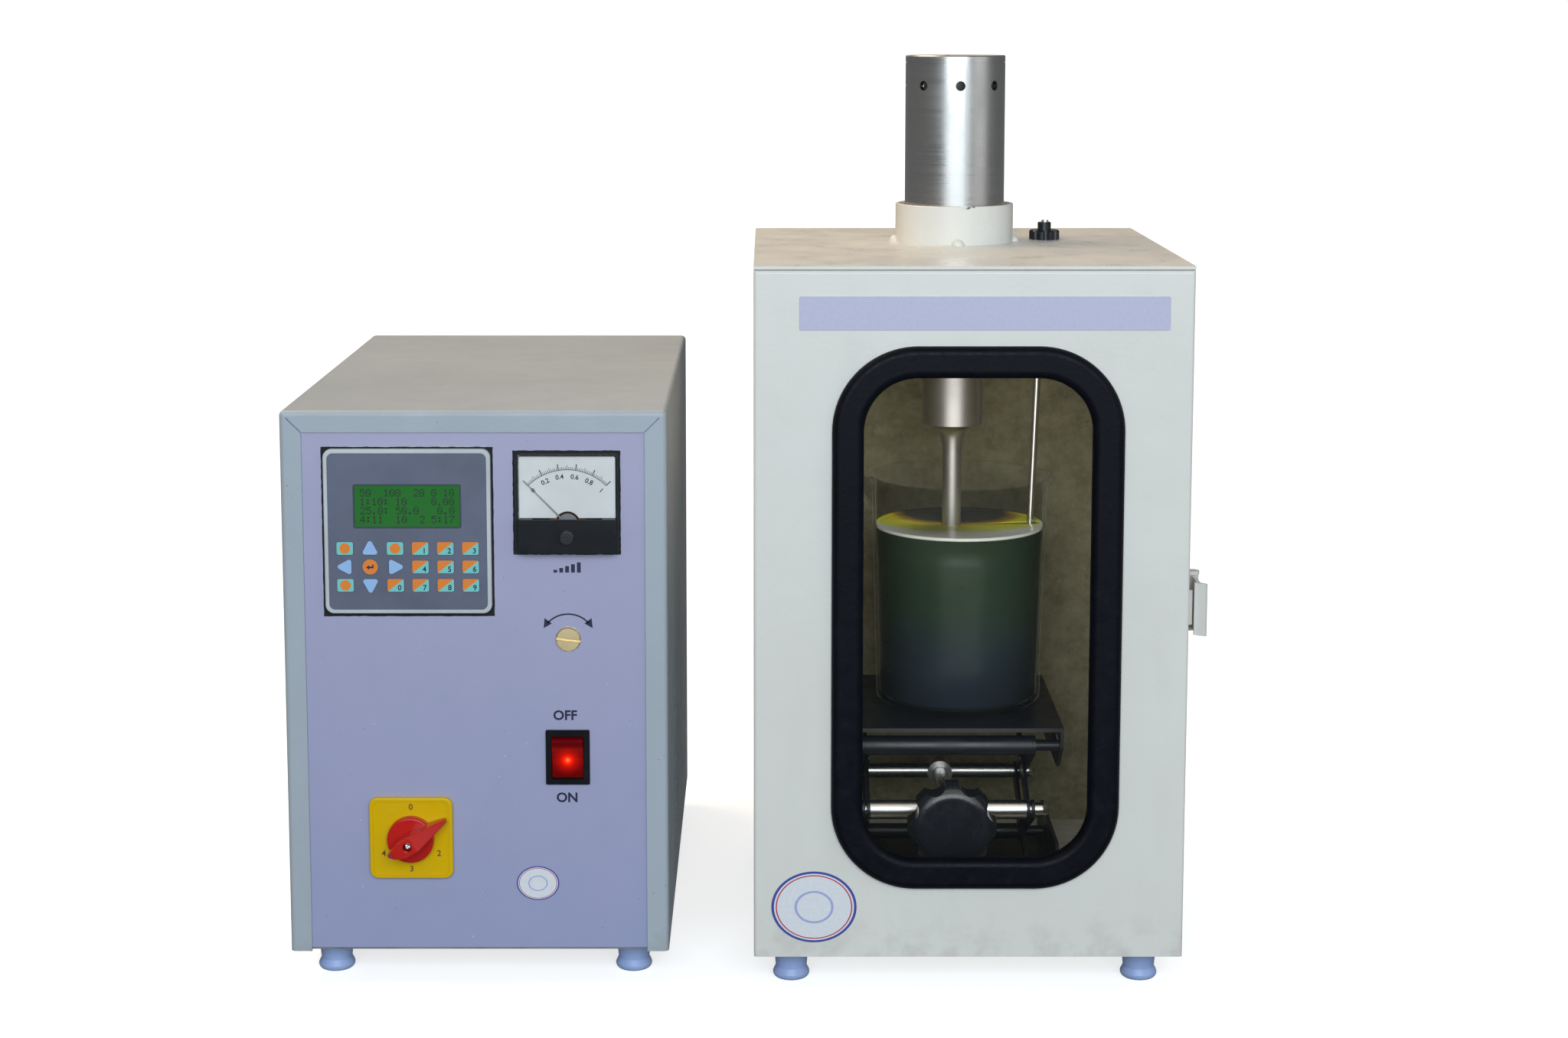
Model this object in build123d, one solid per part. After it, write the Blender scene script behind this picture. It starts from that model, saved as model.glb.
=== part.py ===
from build123d import *
import os
from math import atan2, cos, degrees, radians, sin, tan

# A probe sonicator: a generator and a sound enclosure that stand side by side.
# Millimetres. +X is the right side seen from the front, +Y goes from the front to the back, +Z is up.
# The origin is on the bench, below the middle of the whole object.

# Whole layout
unit_gap = 50.0
generator_setback = 10.0
foot_height = 20.0
fit = 0.1
running_fit = 0.06

# Generator casing
gen_width = 222.0
gen_depth = 360.0
gen_height = 321.0
gen_sheet = 1.5
gen_bend = 3.0
flange_width = 12.5
flange_slit = 0.8
panel_lift = 2.0
overlay_thickness = 0.5
plate_thickness = 2.0
lip_height = 15.0
vent_height = 3.0
vent_pitch = 15.0
vent_rows = 7
vent_top_z = 145.0
vent_spans = ((55.0, 130.0), (250.0, 338.0))
cover_screw_radius = 2.0
cover_screw_head = 4.0
cover_screw_length = 8.0
cover_screw_inset = 20.0
gen_foot_x = 89.0
gen_foot_inset = 30.0

# Feet
foot_top_radius = 10.5
foot_waist_radius = 9.15
foot_lip_radius = 10.75
foot_base_radius = 8.9
foot_lip_z = 3.4
foot_waist_z = 6.6
foot_stud_radius = 2.9
foot_recess_radius = 4.5
foot_recess_depth = 12.0

# Controller, 96 mm square
controller_x = -38.0
controller_top_gap = 9.5
controller_size = 96.0
controller_corner = 5.0
controller_proud = 3.5
controller_body = 91.0
controller_body_depth = 65.0
controller_gap = 1.3
membrane_size = 91.4
membrane_recess = 0.8
lcd_width = 60.4
lcd_height = 24.0
lcd_lift = 14.8
key_width = 9.8
key_height = 7.8
key_columns = 6
key_pitch_x = 14.45
key_rows = 3
key_pitch_z = 10.8
key_top_drop = 9.7
key_emboss = 0.5

# Moving-coil meter
meter_x = 54.0
meter_top_gap = 12.2
meter_size = 58.6
meter_proud = 10.0
meter_wall = 1.5
meter_gap = 0.9
meter_barrel_radius = 26.0
meter_barrel_length = 38.0
meter_mask_top = -8.2
meter_pivot_z = -11.6
magnet_radius = 11.0
needle_length = 36.0
needle_rest_angle = 44.5
zero_screw_z = -18.4
zero_screw_radius = 4.0

# Tuning screw
tuning_x = 53.6
tuning_z = 207.0
tuning_radius = 7.0
tuning_shaft_radius = 4.0
tuning_length = 46.0

# Rocker switch
rocker_x = 52.7
rocker_z = 137.0
rocker_bezel_width = 25.5
rocker_bezel_height = 32.5
rocker_width = 18.0
rocker_radius = 12.35
rocker_tilt = 11.0
rocker_body_depth = 26.0
rocker_clearance = 0.3

# Cam switch
selector_x = -39.0
selector_z = 89.0
selector_plate_size = 48.5
selector_plate_thickness = 3.4
selector_plate_rim = 2.2
selector_recess = 0.7
selector_disc_radius = 13.6
selector_disc_height = 5.0
selector_pointer_reach = 23.7
selector_pointer_tail = 13.5
selector_pointer_width = 10.4
selector_height = 18.5
selector_screw_height = 15.0
selector_rest_angle = 60.0
selector_shaft_radius = 4.0
selector_body_size = 44.0
selector_body_depth = 52.0

# Fan
fan_size = 80.0
fan_depth = 25.0
fan_bore_radius = 38.0
fan_hub_radius = 16.0
fan_blades = 7
fan_x = -52.0
fan_z = 262.0
guard_rings = 4
guard_slot = 5.0

# Power parts inside the generator
core_width = 84.0
core_height = 70.0
core_stack = 46.0
transformer_x = 48.0
transformer_back_gap = 70.0
board_width = 110.0
board_length = 150.0
board_thickness = 1.6
standoff_height = 10.0
sink_width = 40.0
sink_height = 70.0
sink_fins = 8

# Rear sockets
inlet_x = 60.0
inlet_z = 60.0
inlet_width = 28.0
inlet_height = 20.0
inlet_depth = 24.0
socket_x = 60.0
socket_z = 112.0
socket_radius = 13.0
socket_proud = 7.0
fuse_x = 22.0
fuse_z = 60.0
fuse_radius = 8.0

# Sound enclosure
case_width = 250.0
case_depth = 272.0
case_height = 405.0
case_sheet = 2.0
case_edge = 2.0
case_foot_x = 103.0
case_foot_inset = 24.7
side_start = 18.5
lining_thickness = 10.0
lining_gap = 0.5

# Door
door_sheet = 1.5
door_depth = 14.0
door_gap = 0.3
door_top_gap = 0.4
door_hem = 2.0
door_bend = 2.0
door_axis_inset = 8.0
door_pin_radius = 3.0
door_pin_reach = 3.0
gasket_inset = 16.0
gasket_width = 10.0
gasket_back = 18.2

# Window
window_x = 3.0
window_z = 220.7
seal_width = 166.7
seal_height = 317.6
seal_corner = 49.0
seal_band = 18.2
seal_proud = 5.5
seal_inner_depth = 6.5
seal_round = 4.5
seal_grip = 8.0
pane_grip = 6.5
pane_thickness = 4.0

# Latch
latch_z = 226.5
latch_height = 35.0
latch_pin_x = 6.0
latch_pin_y = 29.0
latch_pin_radius = 2.0
latch_base_start = 24.0
latch_base_length = 26.0
latch_ear = 2.0

# Collar and converter
probe_depth = 170.0
converter_radius = 31.0
collar_ring_thickness = 3.75
collar_wall = 2.0
collar_radius = converter_radius + collar_ring_thickness + collar_wall
collar_height = 24.0
collar_ring_drop = 3.0
collar_weld_radius = 4.0
converter_wall = 3.0
converter_neck_radius = 28.0
converter_neck_length = 25.0
converter_top_z = 541.0
converter_cap = 4.6
converter_groove = 0.4
converter_hole_radius = 3.0
converter_hole_drop = 18.5
converter_holes = 8

# Horn
horn_radius = 19.0
horn_flange_radius = 24.0
horn_flange_thickness = 4.0
horn_step_z = 309.6
horn_fillet_height = 19.0
horn_tip_radius = 6.0
horn_tip_z = 222.0
piezo_thickness = 5.0
piezo_bore = 7.5
piezo_count = 4
stack_bolt_radius = 6.0

# Temperature sensor
gland_x = 58.0
gland_depth = 183.0
gland_radius = 9.5
gland_height = 6.0
gland_scallops = 10
stub_radius = 4.2
stub_height = 5.0
sensor_radius = 2.2
sensor_tip_x = 50.5
sensor_tip_depth = 175.0
sensor_tip_z = 240.0
sensor_head = 1.5

# Laboratory jack
jack_x = -5.0
jack_width = 140.0
jack_front = 94.0
jack_plate_depth = 133.0
jack_plate = 2.5
jack_flange = 2.0
jack_flange_height = 30.0
jack_flange_nose = 12.5
jack_flange_slant = 21.0
jack_pivot_rise = 13.75
jack_rear_pivot = 191.0
jack_arm_length = 95.0
jack_rest_angle = 25.5
jack_low_angle = 20.0
jack_high_angle = 53.5
arm_width = 12.0
arm_thickness = 2.0
arm_outer_x = 51.5
arm_gap = 1.0
rod_front_radius = 6.0
rod_rear_radius = 5.0
rod_end_radius = 3.5
rivet_radius = 3.0
rivet_head = 4.5
rivet_head_height = 1.2
boss_radius = 8.0
spindle_radius = 4.0
spindle_clearance = 0.2
jack_knob_radius = 27.0
jack_knob_depth = 18.0
jack_knob_front = 61.0
jack_knob_lobes = 8
nut_radius = 4.4
nut_length = 9.0

# Beaker, one litre
beaker_x = 5.0
beaker_top_radius = 56.0
beaker_base_radius = 52.2
beaker_rim_radius = 58.5
beaker_height = 145.0
beaker_wall = 2.0
beaker_floor = 2.6
spout_reach = 8.0
spout_height = 24.0

# Places worked out from the sizes above
latch_proud = 10.5
panel_recess = gen_sheet
whole_width = gen_width + unit_gap + case_width + latch_proud
gen_left = -whole_width / 2
gen_right = gen_left + gen_width
gen_x = (gen_left + gen_right) / 2
case_left = gen_right + unit_gap
case_right = case_left + case_width
case_x = (case_left + case_right) / 2
selector_base = selector_plate_thickness - selector_recess + 0.3
selector_front = selector_base + selector_height
front_reach = selector_front - panel_recess - generator_setback
back_reach = generator_setback + gen_depth + socket_proud
case_front = (front_reach - back_reach) / 2
case_back = case_front + case_depth
gen_front = case_front + generator_setback
gen_back = gen_front + gen_depth
gen_bottom = foot_height
gen_top = gen_bottom + gen_height
controller_z = gen_top - flange_width - controller_top_gap - controller_size / 2
meter_z = gen_top - flange_width - meter_top_gap - meter_size / 2
panel_y = gen_front + panel_recess
plate_y = panel_y + overlay_thickness
plate_back = plate_y + plate_thickness
case_bottom = foot_height
case_top = case_bottom + case_height
case_floor = case_bottom + case_sheet
door_low = case_bottom + door_gap
door_high = case_top - case_sheet - door_top_gap
door_axis_x = case_left + door_axis_inset
door_axis_y = case_front + door_axis_inset
collar_top = case_top + collar_height
probe_y = case_front + probe_depth
probe_x = case_x
shoulder_z = case_top + 3.0
converter_low = case_top - converter_neck_length
jack_centre = case_x + jack_x
jack_rear_y = case_front + jack_rear_pivot
jack_floor = case_floor
low_pivot_z = jack_floor + jack_pivot_rise
front_pivot_y = jack_rear_y - jack_arm_length * cos(radians(jack_rest_angle))
mid_pivot_z = low_pivot_z + jack_arm_length * sin(radians(jack_rest_angle))
high_pivot_z = 2 * mid_pivot_z - low_pivot_z
jack_top = high_pivot_z + jack_pivot_rise
centre_y = (front_pivot_y + jack_rear_y) / 2
low_cross_z = (low_pivot_z + mid_pivot_z) / 2
high_cross_z = (mid_pivot_z + high_pivot_z) / 2
arm_inner_x = arm_outer_x - arm_gap - arm_thickness


def write(name, *solids):
    """One file for each named piece, or for a group of like pieces."""
    shape = solids[0] if len(solids) == 1 else Compound(children=list(solids))
    export_step(shape, f"parts/{name}.step")


def block(x, y, z):
    """A box between pairs of coordinates."""
    size = Box(x[1] - x[0], y[1] - y[0], z[1] - z[0])
    return Pos((x[0] + x[1]) / 2, (y[0] + y[1]) / 2, (z[0] + z[1]) / 2) * size


def rod_x(radius, x0, x1, y, z):
    return Pos((x0 + x1) / 2, y, z) * Rot(0, 90, 0) * Cylinder(radius, x1 - x0)


def rod_y(radius, x, y0, y1, z):
    return Pos(x, (y0 + y1) / 2, z) * Rot(90, 0, 0) * Cylinder(radius, y1 - y0)


def rod_z(radius, x, y, z0, z1):
    return Pos(x, y, (z0 + z1) / 2) * Cylinder(radius, z1 - z0)


def front_plane(x, y, z):
    """A plane seen from the front: its own x runs right and its own y runs up."""
    return Plane(origin=(x, y, z), x_dir=(1, 0, 0), z_dir=(0, -1, 0))


def side_plane(x, y, z):
    """A plane seen from the side: its own x runs back and its own y runs up."""
    return Plane(origin=(x, y, z), x_dir=(0, 1, 0), z_dir=(1, 0, 0))


def slab(x, z, width, height, corner, y0, y1):
    """A rounded rectangle seen from the front, from y0 back to y1."""
    outline = RectangleRounded(width, height, corner) if corner else Rectangle(width, height)
    return extrude(front_plane(x, y1, z) * outline, amount=y1 - y0)


def front_edges(solid):
    return solid.faces().sort_by(Axis.Y)[0].edges()


def turned(profile, x, y):
    """A turned piece on a vertical axis, from (radius, z) points."""
    outline = Plane.XZ * make_face(Polyline(*profile, close=True))
    return Pos(x, y, 0) * revolve(outline, Axis.Z)


def foot(x, y):
    """A plastic foot: a tapered body, a waist and a rounded lip, with a stud into the floor above."""
    lip = ThreePointArc((foot_base_radius, 0), (foot_lip_radius - 0.5, foot_lip_z / 3), (foot_lip_radius, foot_lip_z))
    waist = ThreePointArc(
        (foot_lip_radius, foot_lip_z), (foot_lip_radius - 0.9, foot_waist_z - 1.2), (foot_waist_radius, foot_waist_z)
    )
    body = Polyline(
        (foot_waist_radius, foot_waist_z),
        (foot_top_radius, foot_height),
        (0, foot_height),
        (0, foot_recess_depth),
        (foot_recess_radius, foot_recess_depth),
        (foot_recess_radius, 0),
        (foot_base_radius, 0),
    )
    outline = Plane.XZ * make_face([lip, waist, body])
    shape = revolve(outline, Axis.Z)
    stud = rod_z(foot_stud_radius, 0, 0, foot_height - 1, foot_height + gen_sheet)
    return Pos(x, y, 0) * (shape + stud)


def feet(x, reach, y0, y1):
    return [foot(x + side * reach, y) for side in (-1, 1) for y in (y0, y1)]


def foot_holes(x, reach, y0, y1, z):
    radius = foot_stud_radius + running_fit
    holes = [rod_z(radius, x + side * reach, y, z - 5, z + 5) for side in (-1, 1) for y in (y0, y1)]
    return holes


# Generator

gen_foot_rows = (gen_front + gen_foot_inset, gen_back - gen_foot_inset)
screw_rows = (gen_front + cover_screw_inset, gen_front + gen_depth / 2, gen_back - cover_screw_inset)
screw_z = gen_bottom + gen_sheet + lip_height / 2


def cover_screw(side, y, clearance):
    """A countersunk screw in a side of the cover."""
    face = gen_left if side < 0 else gen_right
    head_depth = cover_screw_head - cover_screw_radius
    head = Cone(cover_screw_head + clearance, cover_screw_radius + clearance, head_depth)
    place = Pos(face - side * head_depth / 2, y, screw_z) * Rot(0, -side * 90, 0)
    inner = face - side * cover_screw_length
    shank = rod_x(cover_screw_radius + clearance, min(face, inner), max(face, inner), y, screw_z)
    return place * head + shank


def cover_screws(clearance):
    return [cover_screw(side, y, clearance) for side in (-1, 1) for y in screw_rows]


def bent_box(inset, bend, y_end, z_low):
    """The cover's outer or inner surface, with its bends at the top, the sides and the front."""
    solid = block(
        (gen_left + inset, gen_right - inset), (gen_front + inset, y_end), (z_low, gen_top - inset)
    )
    front = [edge for edge in front_edges(solid) if edge.center().Z > z_low + 1]
    long_edges = solid.faces().sort_by(Axis.Z)[-1].edges().filter_by(Axis.Y)
    return fillet(front + list(long_edges), bend)


def vent_slots():
    slots = []
    for start, end in vent_spans:
        for row in range(vent_rows):
            z = vent_top_z - row * vent_pitch
            plane = side_plane(gen_left - 1, gen_front + (start + end) / 2, z)
            outline = SlotOverall(end - start, vent_height)
            slots.append(extrude(plane * outline, amount=gen_width + 2))
    return slots


def gen_cover():
    outer = bent_box(0, gen_bend, gen_back, gen_bottom)
    inner = bent_box(gen_sheet, gen_bend - gen_sheet, gen_back + 1, gen_bottom - 1)
    window = block(
        (gen_left + flange_width, gen_right - flange_width),
        (gen_front - 1, gen_front + gen_sheet + 1),
        (gen_bottom - 1, gen_top - flange_width),
    )
    slit_start, slit_end = flange_width + 1, gen_bend + 1.2
    slit_length = (slit_start - slit_end) * 2 ** 0.5
    slits = []
    for side in (-1, 1):
        x = gen_x + side * (gen_width / 2 - (slit_start + slit_end) / 2)
        z = gen_top - (slit_start + slit_end) / 2
        slit = Box(slit_length, 2 * gen_sheet + 1, flange_slit)
        slits.append(Pos(x, gen_front + gen_sheet / 2, z) * Rot(0, -side * 45, 0) * slit)
    return outer - inner - window - slits - vent_slots() - cover_screws(running_fit)


def fan_guard():
    """Ring slots of the fan's opening, broken by a cross of spokes."""
    x = gen_x + fan_x
    y0, y1 = gen_back - 2 * gen_sheet, gen_back + 1
    pitch = fan_bore_radius / (guard_rings + 0.5)
    cut = None
    for ring in range(1, guard_rings + 1):
        middle = ring * pitch
        slot = rod_y(middle + guard_slot / 2, x, y0, y1, fan_z) - rod_y(middle - guard_slot / 2, x, y0, y1, fan_z)
        cut = slot if cut is None else cut + slot
    spoke = Box(2 * fan_bore_radius, y1 - y0 + 2, 4)
    for turn in (45, 135):
        cut = cut - Pos(x, (y0 + y1) / 2, fan_z) * Rot(0, turn, 0) * spoke
    return cut


def gen_chassis():
    """A folded tray: the floor, two side lips and the rear panel."""
    x = (gen_left + gen_sheet + fit, gen_right - gen_sheet - fit)
    floor_top = gen_bottom + gen_sheet
    tray = block(x, (plate_back + fit, gen_back), (gen_bottom, floor_top))
    rear = block(x, (gen_back - gen_sheet, gen_back), (gen_bottom, gen_top - gen_sheet - fit))
    rear = fillet(rear.faces().sort_by(Axis.Z)[-1].edges().filter_by(Axis.Y), 1.5)
    tray = tray + rear
    for edge in ((x[0], x[0] + gen_sheet), (x[1] - gen_sheet, x[1])):
        tray = tray + block(edge, (plate_back + fit, gen_back), (gen_bottom, floor_top + lip_height))
    tray = tray - fan_guard()
    tray = tray - slab(gen_x + inlet_x, inlet_z, inlet_width, inlet_height, 2, gen_back - 9, gen_back + 9)
    tray = tray - rod_y(socket_radius - 2, gen_x + socket_x, gen_back - 9, gen_back + 9, socket_z)
    tray = tray - rod_y(fuse_radius - 2, gen_x + fuse_x, gen_back - 9, gen_back + 9, fuse_z)
    tray = tray - foot_holes(gen_x, gen_foot_x, gen_foot_rows[0], gen_foot_rows[1], gen_bottom)
    return tray - cover_screws(running_fit / 2)


def panel_cuts(depth_from, depth_to, gap):
    """The openings of the front: gap is what the overlay's openings stand wider than the plate's."""
    y0, y1 = depth_from, depth_to
    wide = 0.0
    cuts = []
    if gap:
        wide = 1.0
    controller = controller_size + 2 * controller_gap if gap else controller_body + 2 * fit
    corner = controller_corner if gap else 1
    meter = meter_size + 2 * meter_gap
    cuts.append(slab(gen_x + controller_x, controller_z, controller, controller, corner, y0, y1))
    if gap:
        cuts.append(slab(gen_x + meter_x, meter_z, meter, meter, 2, y0, y1))
    else:
        cuts.append(rod_y(meter_barrel_radius + fit, gen_x + meter_x, y0, y1, meter_z))
    cuts.append(rod_y(tuning_radius + 0.2 + wide / 2, gen_x + tuning_x, y0, y1, tuning_z))
    width = rocker_bezel_width - 4 + wide
    height = rocker_bezel_height - 4 + wide
    cuts.append(slab(gen_x + rocker_x, rocker_z, width, height, 1, y0, y1))
    cuts.append(rod_y(selector_shaft_radius + 2 + wide, gen_x + selector_x, y0, y1, selector_z))
    return cuts


def panel_slab(inset, y0, y1):
    width = gen_width - 2 * (gen_sheet + inset)
    low = gen_bottom + panel_lift
    high = gen_top - gen_sheet - inset
    return slab(gen_x, (low + high) / 2, width, high - low, 1, y0, y1)


def gen_overlay():
    return panel_slab(2.0, panel_y, plate_y) - panel_cuts(panel_y - 1, plate_y + 1, True)


def gen_front_plate():
    return panel_slab(0.6, plate_y, plate_back) - panel_cuts(plate_y - 1, plate_back + 1, False)


def controller_bezel():
    x, z = gen_x + controller_x, controller_z
    front = panel_y - controller_proud
    body = slab(x, z, controller_size, controller_size, controller_corner, front, plate_y)
    body = fillet(front_edges(body), 0.8)
    recess = slab(x, z, membrane_size, membrane_size, 3.5, front - 1, front + membrane_recess)
    window = slab(x, z + lcd_lift, lcd_width - 3, lcd_height - 3, 1, front, plate_y + 1)
    return body - recess - window


def controller_display():
    """The display sits in the membrane's opening, a little below its face."""
    front = panel_y - controller_proud + membrane_recess
    return slab(gen_x + controller_x, controller_z + lcd_lift, lcd_width - 3.4, lcd_height - 3.4, 0.8, front, plate_y)


def key_outline(column, row):
    """Arrows stand round the enter key; the rest are rounded rectangles."""
    if (column, row) == (1, 1):
        return Circle(key_width / 2 - 0.2)
    arrows = {(1, 0): 90, (0, 1): 180, (2, 1): 0, (1, 2): 270}
    if (column, row) in arrows:
        arrow = make_face(Polyline((-3.9, -3.9), (4.4, -0.9), (4.4, 0.9), (-3.9, 3.9), close=True))
        return Rot(0, 0, arrows[(column, row)]) * fillet(arrow.vertices(), 0.8)
    return RectangleRounded(key_width, key_height, 1.2)


def controller_keypad():
    x, z = gen_x + controller_x, controller_z
    front = panel_y - controller_proud
    sheet = slab(x, z, membrane_size - 0.2, membrane_size - 0.2, 3.4, front + 0.3, front + membrane_recess)
    sheet = sheet - slab(x, z + lcd_lift, lcd_width, lcd_height, 1.2, front - 1, front + 2)
    for column in range(key_columns):
        for row in range(key_rows):
            key_x = x + (column - (key_columns - 1) / 2) * key_pitch_x
            key_z = z - key_top_drop - row * key_pitch_z
            outline = front_plane(key_x, front + 0.3, key_z) * key_outline(column, row)
            sheet = sheet + extrude(outline, amount=key_emboss)
    return sheet


def controller_housing():
    """The moulded housing behind the panel, with its two clamps against the front plate."""
    x, z = gen_x + controller_x, controller_z
    body = slab(x, z, controller_body, controller_body, 1, plate_y, plate_back + controller_body_depth)
    clamps = []
    for side in (-1, 1):
        low = z + side * controller_body / 2
        high = low + side * 7
        span = (min(low, high), max(low, high))
        clamps.append(block((x - 12, x + 12), (plate_back, plate_back + 30), span))
    return [body] + clamps


def meter_cover():
    """The clear cover with the zero screw's hole."""
    x, z = gen_x + meter_x, meter_z
    front = panel_y - meter_proud
    shell = slab(x, z, meter_size, meter_size, 2, front, plate_y)
    shell = fillet(front_edges(shell), 1.0)
    inside = meter_size - 2 * meter_wall
    shell = shell - slab(x, z, inside, inside, 1, front + meter_wall, plate_y + 1)
    return shell - rod_y(zero_screw_radius + 0.15, x, front - 1, front + meter_wall + 1, z + zero_screw_z)


def meter_case():
    """The black base: the barrel behind the panel, the dial's floor and the mask in front."""
    x, z = gen_x + meter_x, meter_z
    front = panel_y - meter_proud + meter_wall
    inside = meter_size - 2 * meter_wall - 2 * fit
    low = z - inside / 2
    base = slab(x, z, inside, inside, 1, panel_y - 2, plate_y)
    barrel_end = plate_y + meter_barrel_length
    base = base + rod_y(meter_barrel_radius, x, plate_y - 0.5, barrel_end, z)
    mask_top = z + meter_mask_top
    above = block((x - 40, x + 40), (front - 9, panel_y), (mask_top, z + 40))
    mask = slab(x, z, inside, inside, 1, front + fit, panel_y - 1.5) - above
    base = base + mask
    base = base - block((x - 20, x + 20), (front + 1.2, panel_y - 2), (low + 2, mask_top + 1))
    pivot = z + meter_pivot_z
    base = base - rod_y(magnet_radius + fit, x, panel_y - 4, barrel_end - 2, pivot)
    base = base - block((x - 9 - fit, x + 9 + fit), (panel_y - 0.5, barrel_end - 2), (pivot, pivot + 21 + fit))
    return base - rod_y(2.3, x, front - 1, front + 3, z + zero_screw_z)


def meter_dial():
    x, z = gen_x + meter_x, meter_z
    inside = meter_size - 2 * meter_wall - 4 * fit
    low = z + meter_mask_top + fit
    plate = slab(x, z, inside, inside, 1, panel_y - 2.6, panel_y - 2)
    plate = plate - block((x - 40, x + 40), (panel_y - 9, panel_y), (z - 40, low))
    return plate - rod_y(7.4, x, panel_y - 4, panel_y, z + meter_pivot_z)


def meter_movement():
    """The magnet's ring and core on their yoke."""
    x, z = gen_x + meter_x, meter_z + meter_pivot_z
    ring = rod_y(magnet_radius, x, panel_y + 0.5, panel_y + 12, z) - rod_y(6.6, x, panel_y, panel_y + 10, z)
    core = rod_y(4.0, x, panel_y - 1, panel_y + 11, z)
    yoke = block((x - 9, x + 9), (panel_y + 10, panel_y + 12), (z + 4, z + 21))
    return ring + core + yoke


def meter_needle():
    """The pointer, its tail and the coil's former, which turns round the core."""
    x, z = gen_x + meter_x, meter_z + meter_pivot_z
    y0, y1 = panel_y - 4.3, panel_y - 3.9
    former = rod_y(5.9, x, panel_y - 1.8, panel_y + 8, z) - rod_y(4.6, x, panel_y - 1.4, panel_y + 9, z)
    hub = rod_y(1.6, x, y0, panel_y - 1.4, z)
    pointer = make_face(Polyline((-0.45, -6), (0.45, -6), (0.14, needle_length), (-0.14, needle_length), close=True))
    blade = extrude(front_plane(x, y1, z) * Rot(0, 0, needle_rest_angle) * pointer, amount=y1 - y0)
    return former + hub + blade


def meter_zero_screw():
    x, z = gen_x + meter_x, meter_z + zero_screw_z
    front = panel_y - meter_proud
    head = rod_y(zero_screw_radius, x, front - 0.5, front + meter_wall - 0.2, z)
    head = fillet(front_edges(head), 0.4)
    slot = block((x - 3, x + 3), (front - 1, front + 0.3), (z - 0.4, z + 0.4))
    return head - slot + rod_y(2.1, x, front + 1, front + 4, z)


def tuning_screw():
    x, z = gen_x + tuning_x, tuning_z
    head = rod_y(tuning_radius, x, panel_y - 1.2, plate_back + 1, z)
    head = chamfer(front_edges(head), 0.4)
    slot = block((x - 8, x + 8), (panel_y - 2, panel_y + 0.8), (z - 0.9, z + 0.9))
    slot = Pos(x, 0, z) * Rot(0, 7, 0) * Pos(-x, 0, -z) * slot
    shaft = rod_y(tuning_shaft_radius, x, plate_back, plate_back + tuning_length, z)
    return head - slot + shaft


def tuning_coil():
    """The former on the back of the front plate, and its winding."""
    x, z = gen_x + tuning_x, tuning_z
    start = plate_back + fit
    flange_end = start + 4
    end = start + tuning_length - 6
    former = rod_y(18, x, start, flange_end, z) + rod_y(8, x, start, end, z) + rod_y(14, x, end - 3, end, z)
    former = former - rod_y(tuning_shaft_radius + running_fit, x, start - 1, end + 1, z)
    former = former - rod_y(tuning_radius + 0.3, x, start - 1, start + 1.6, z)
    winding = rod_y(13, x, flange_end, end - 3, z) - rod_y(8, x, flange_end - 1, end, z)
    return [former, winding]


rocker_pivot_y = panel_y + 1.0


def power_switch_body():
    x, z = gen_x + rocker_x, rocker_z
    bezel = slab(x, z, rocker_bezel_width, rocker_bezel_height, 0.8, panel_y - 2.2, panel_y)
    bezel = chamfer(front_edges(bezel), 0.7)
    back = panel_y + rocker_body_depth
    body = slab(x, z, rocker_bezel_width - 4.4, rocker_bezel_height - 4.4, 0.6, panel_y, back)
    height = 2 * (rocker_radius + rocker_clearance)
    mouth = slab(x, z, rocker_width + 0.6, height, 0, panel_y - 4, rocker_pivot_y)
    half = rocker_width / 2 + 0.3
    bowl = rod_x(rocker_radius + rocker_clearance, x - half, x + half, rocker_pivot_y, z)
    pins = rod_x(1.5, x - half - 1.2, x - half + 1.6, rocker_pivot_y, z)
    pins = pins + rod_x(1.5, x + half - 1.6, x + half + 1.2, rocker_pivot_y, z)
    blades = [block((x - 3, x + 3), (back, back + 8), (z + lift - 0.4, z + lift + 0.4)) for lift in (-9, 0, 9)]
    return (bezel + body) - (mouth + bowl) + pins + blades


def power_rocker():
    """Two faces meet in a shallow valley over the pivot; it rests with the lower end pressed in."""
    x, z = gen_x + rocker_x, rocker_z
    half = rocker_width / 2
    outline = Polyline((-2.4, 0), (-5.2, 12.6), (8, 12.6), (8, -12.6), (-5.2, -12.6), close=True)
    block_shape = extrude(side_plane(x - half, rocker_pivot_y, z) * make_face(outline), amount=rocker_width)
    ends = rod_x(rocker_radius, x - half - 1, x + half + 1, rocker_pivot_y, z)
    shape = block_shape & ends
    for side in (-1, 1):
        inner = x + side * (half - 2)
        outer = x + side * (half + 1)
        shape = shape - rod_x(1.5 + running_fit, min(inner, outer), max(inner, outer), rocker_pivot_y, z)
    shape = shape - rod_x(6.5, x - half + 2.4, x + half - 2.4, rocker_pivot_y + 5.5, z)
    turn = Pos(0, rocker_pivot_y, z) * Rot(rocker_tilt, 0, 0) * Pos(0, -rocker_pivot_y, -z)
    return turn * shape


def selector_plate():
    x, z = gen_x + selector_x, selector_z
    front = panel_y - selector_plate_thickness
    plate = slab(x, z, selector_plate_size, selector_plate_size, 5, front, panel_y)
    plate = fillet(front_edges(plate), 0.9)
    inner = selector_plate_size - 2 * selector_plate_rim
    plate = plate - slab(x, z, inner, inner, 3.4, front - 1, front + selector_recess)
    return plate - rod_y(selector_shaft_radius + 1, x, front - 1, panel_y + 1, z)


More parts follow.
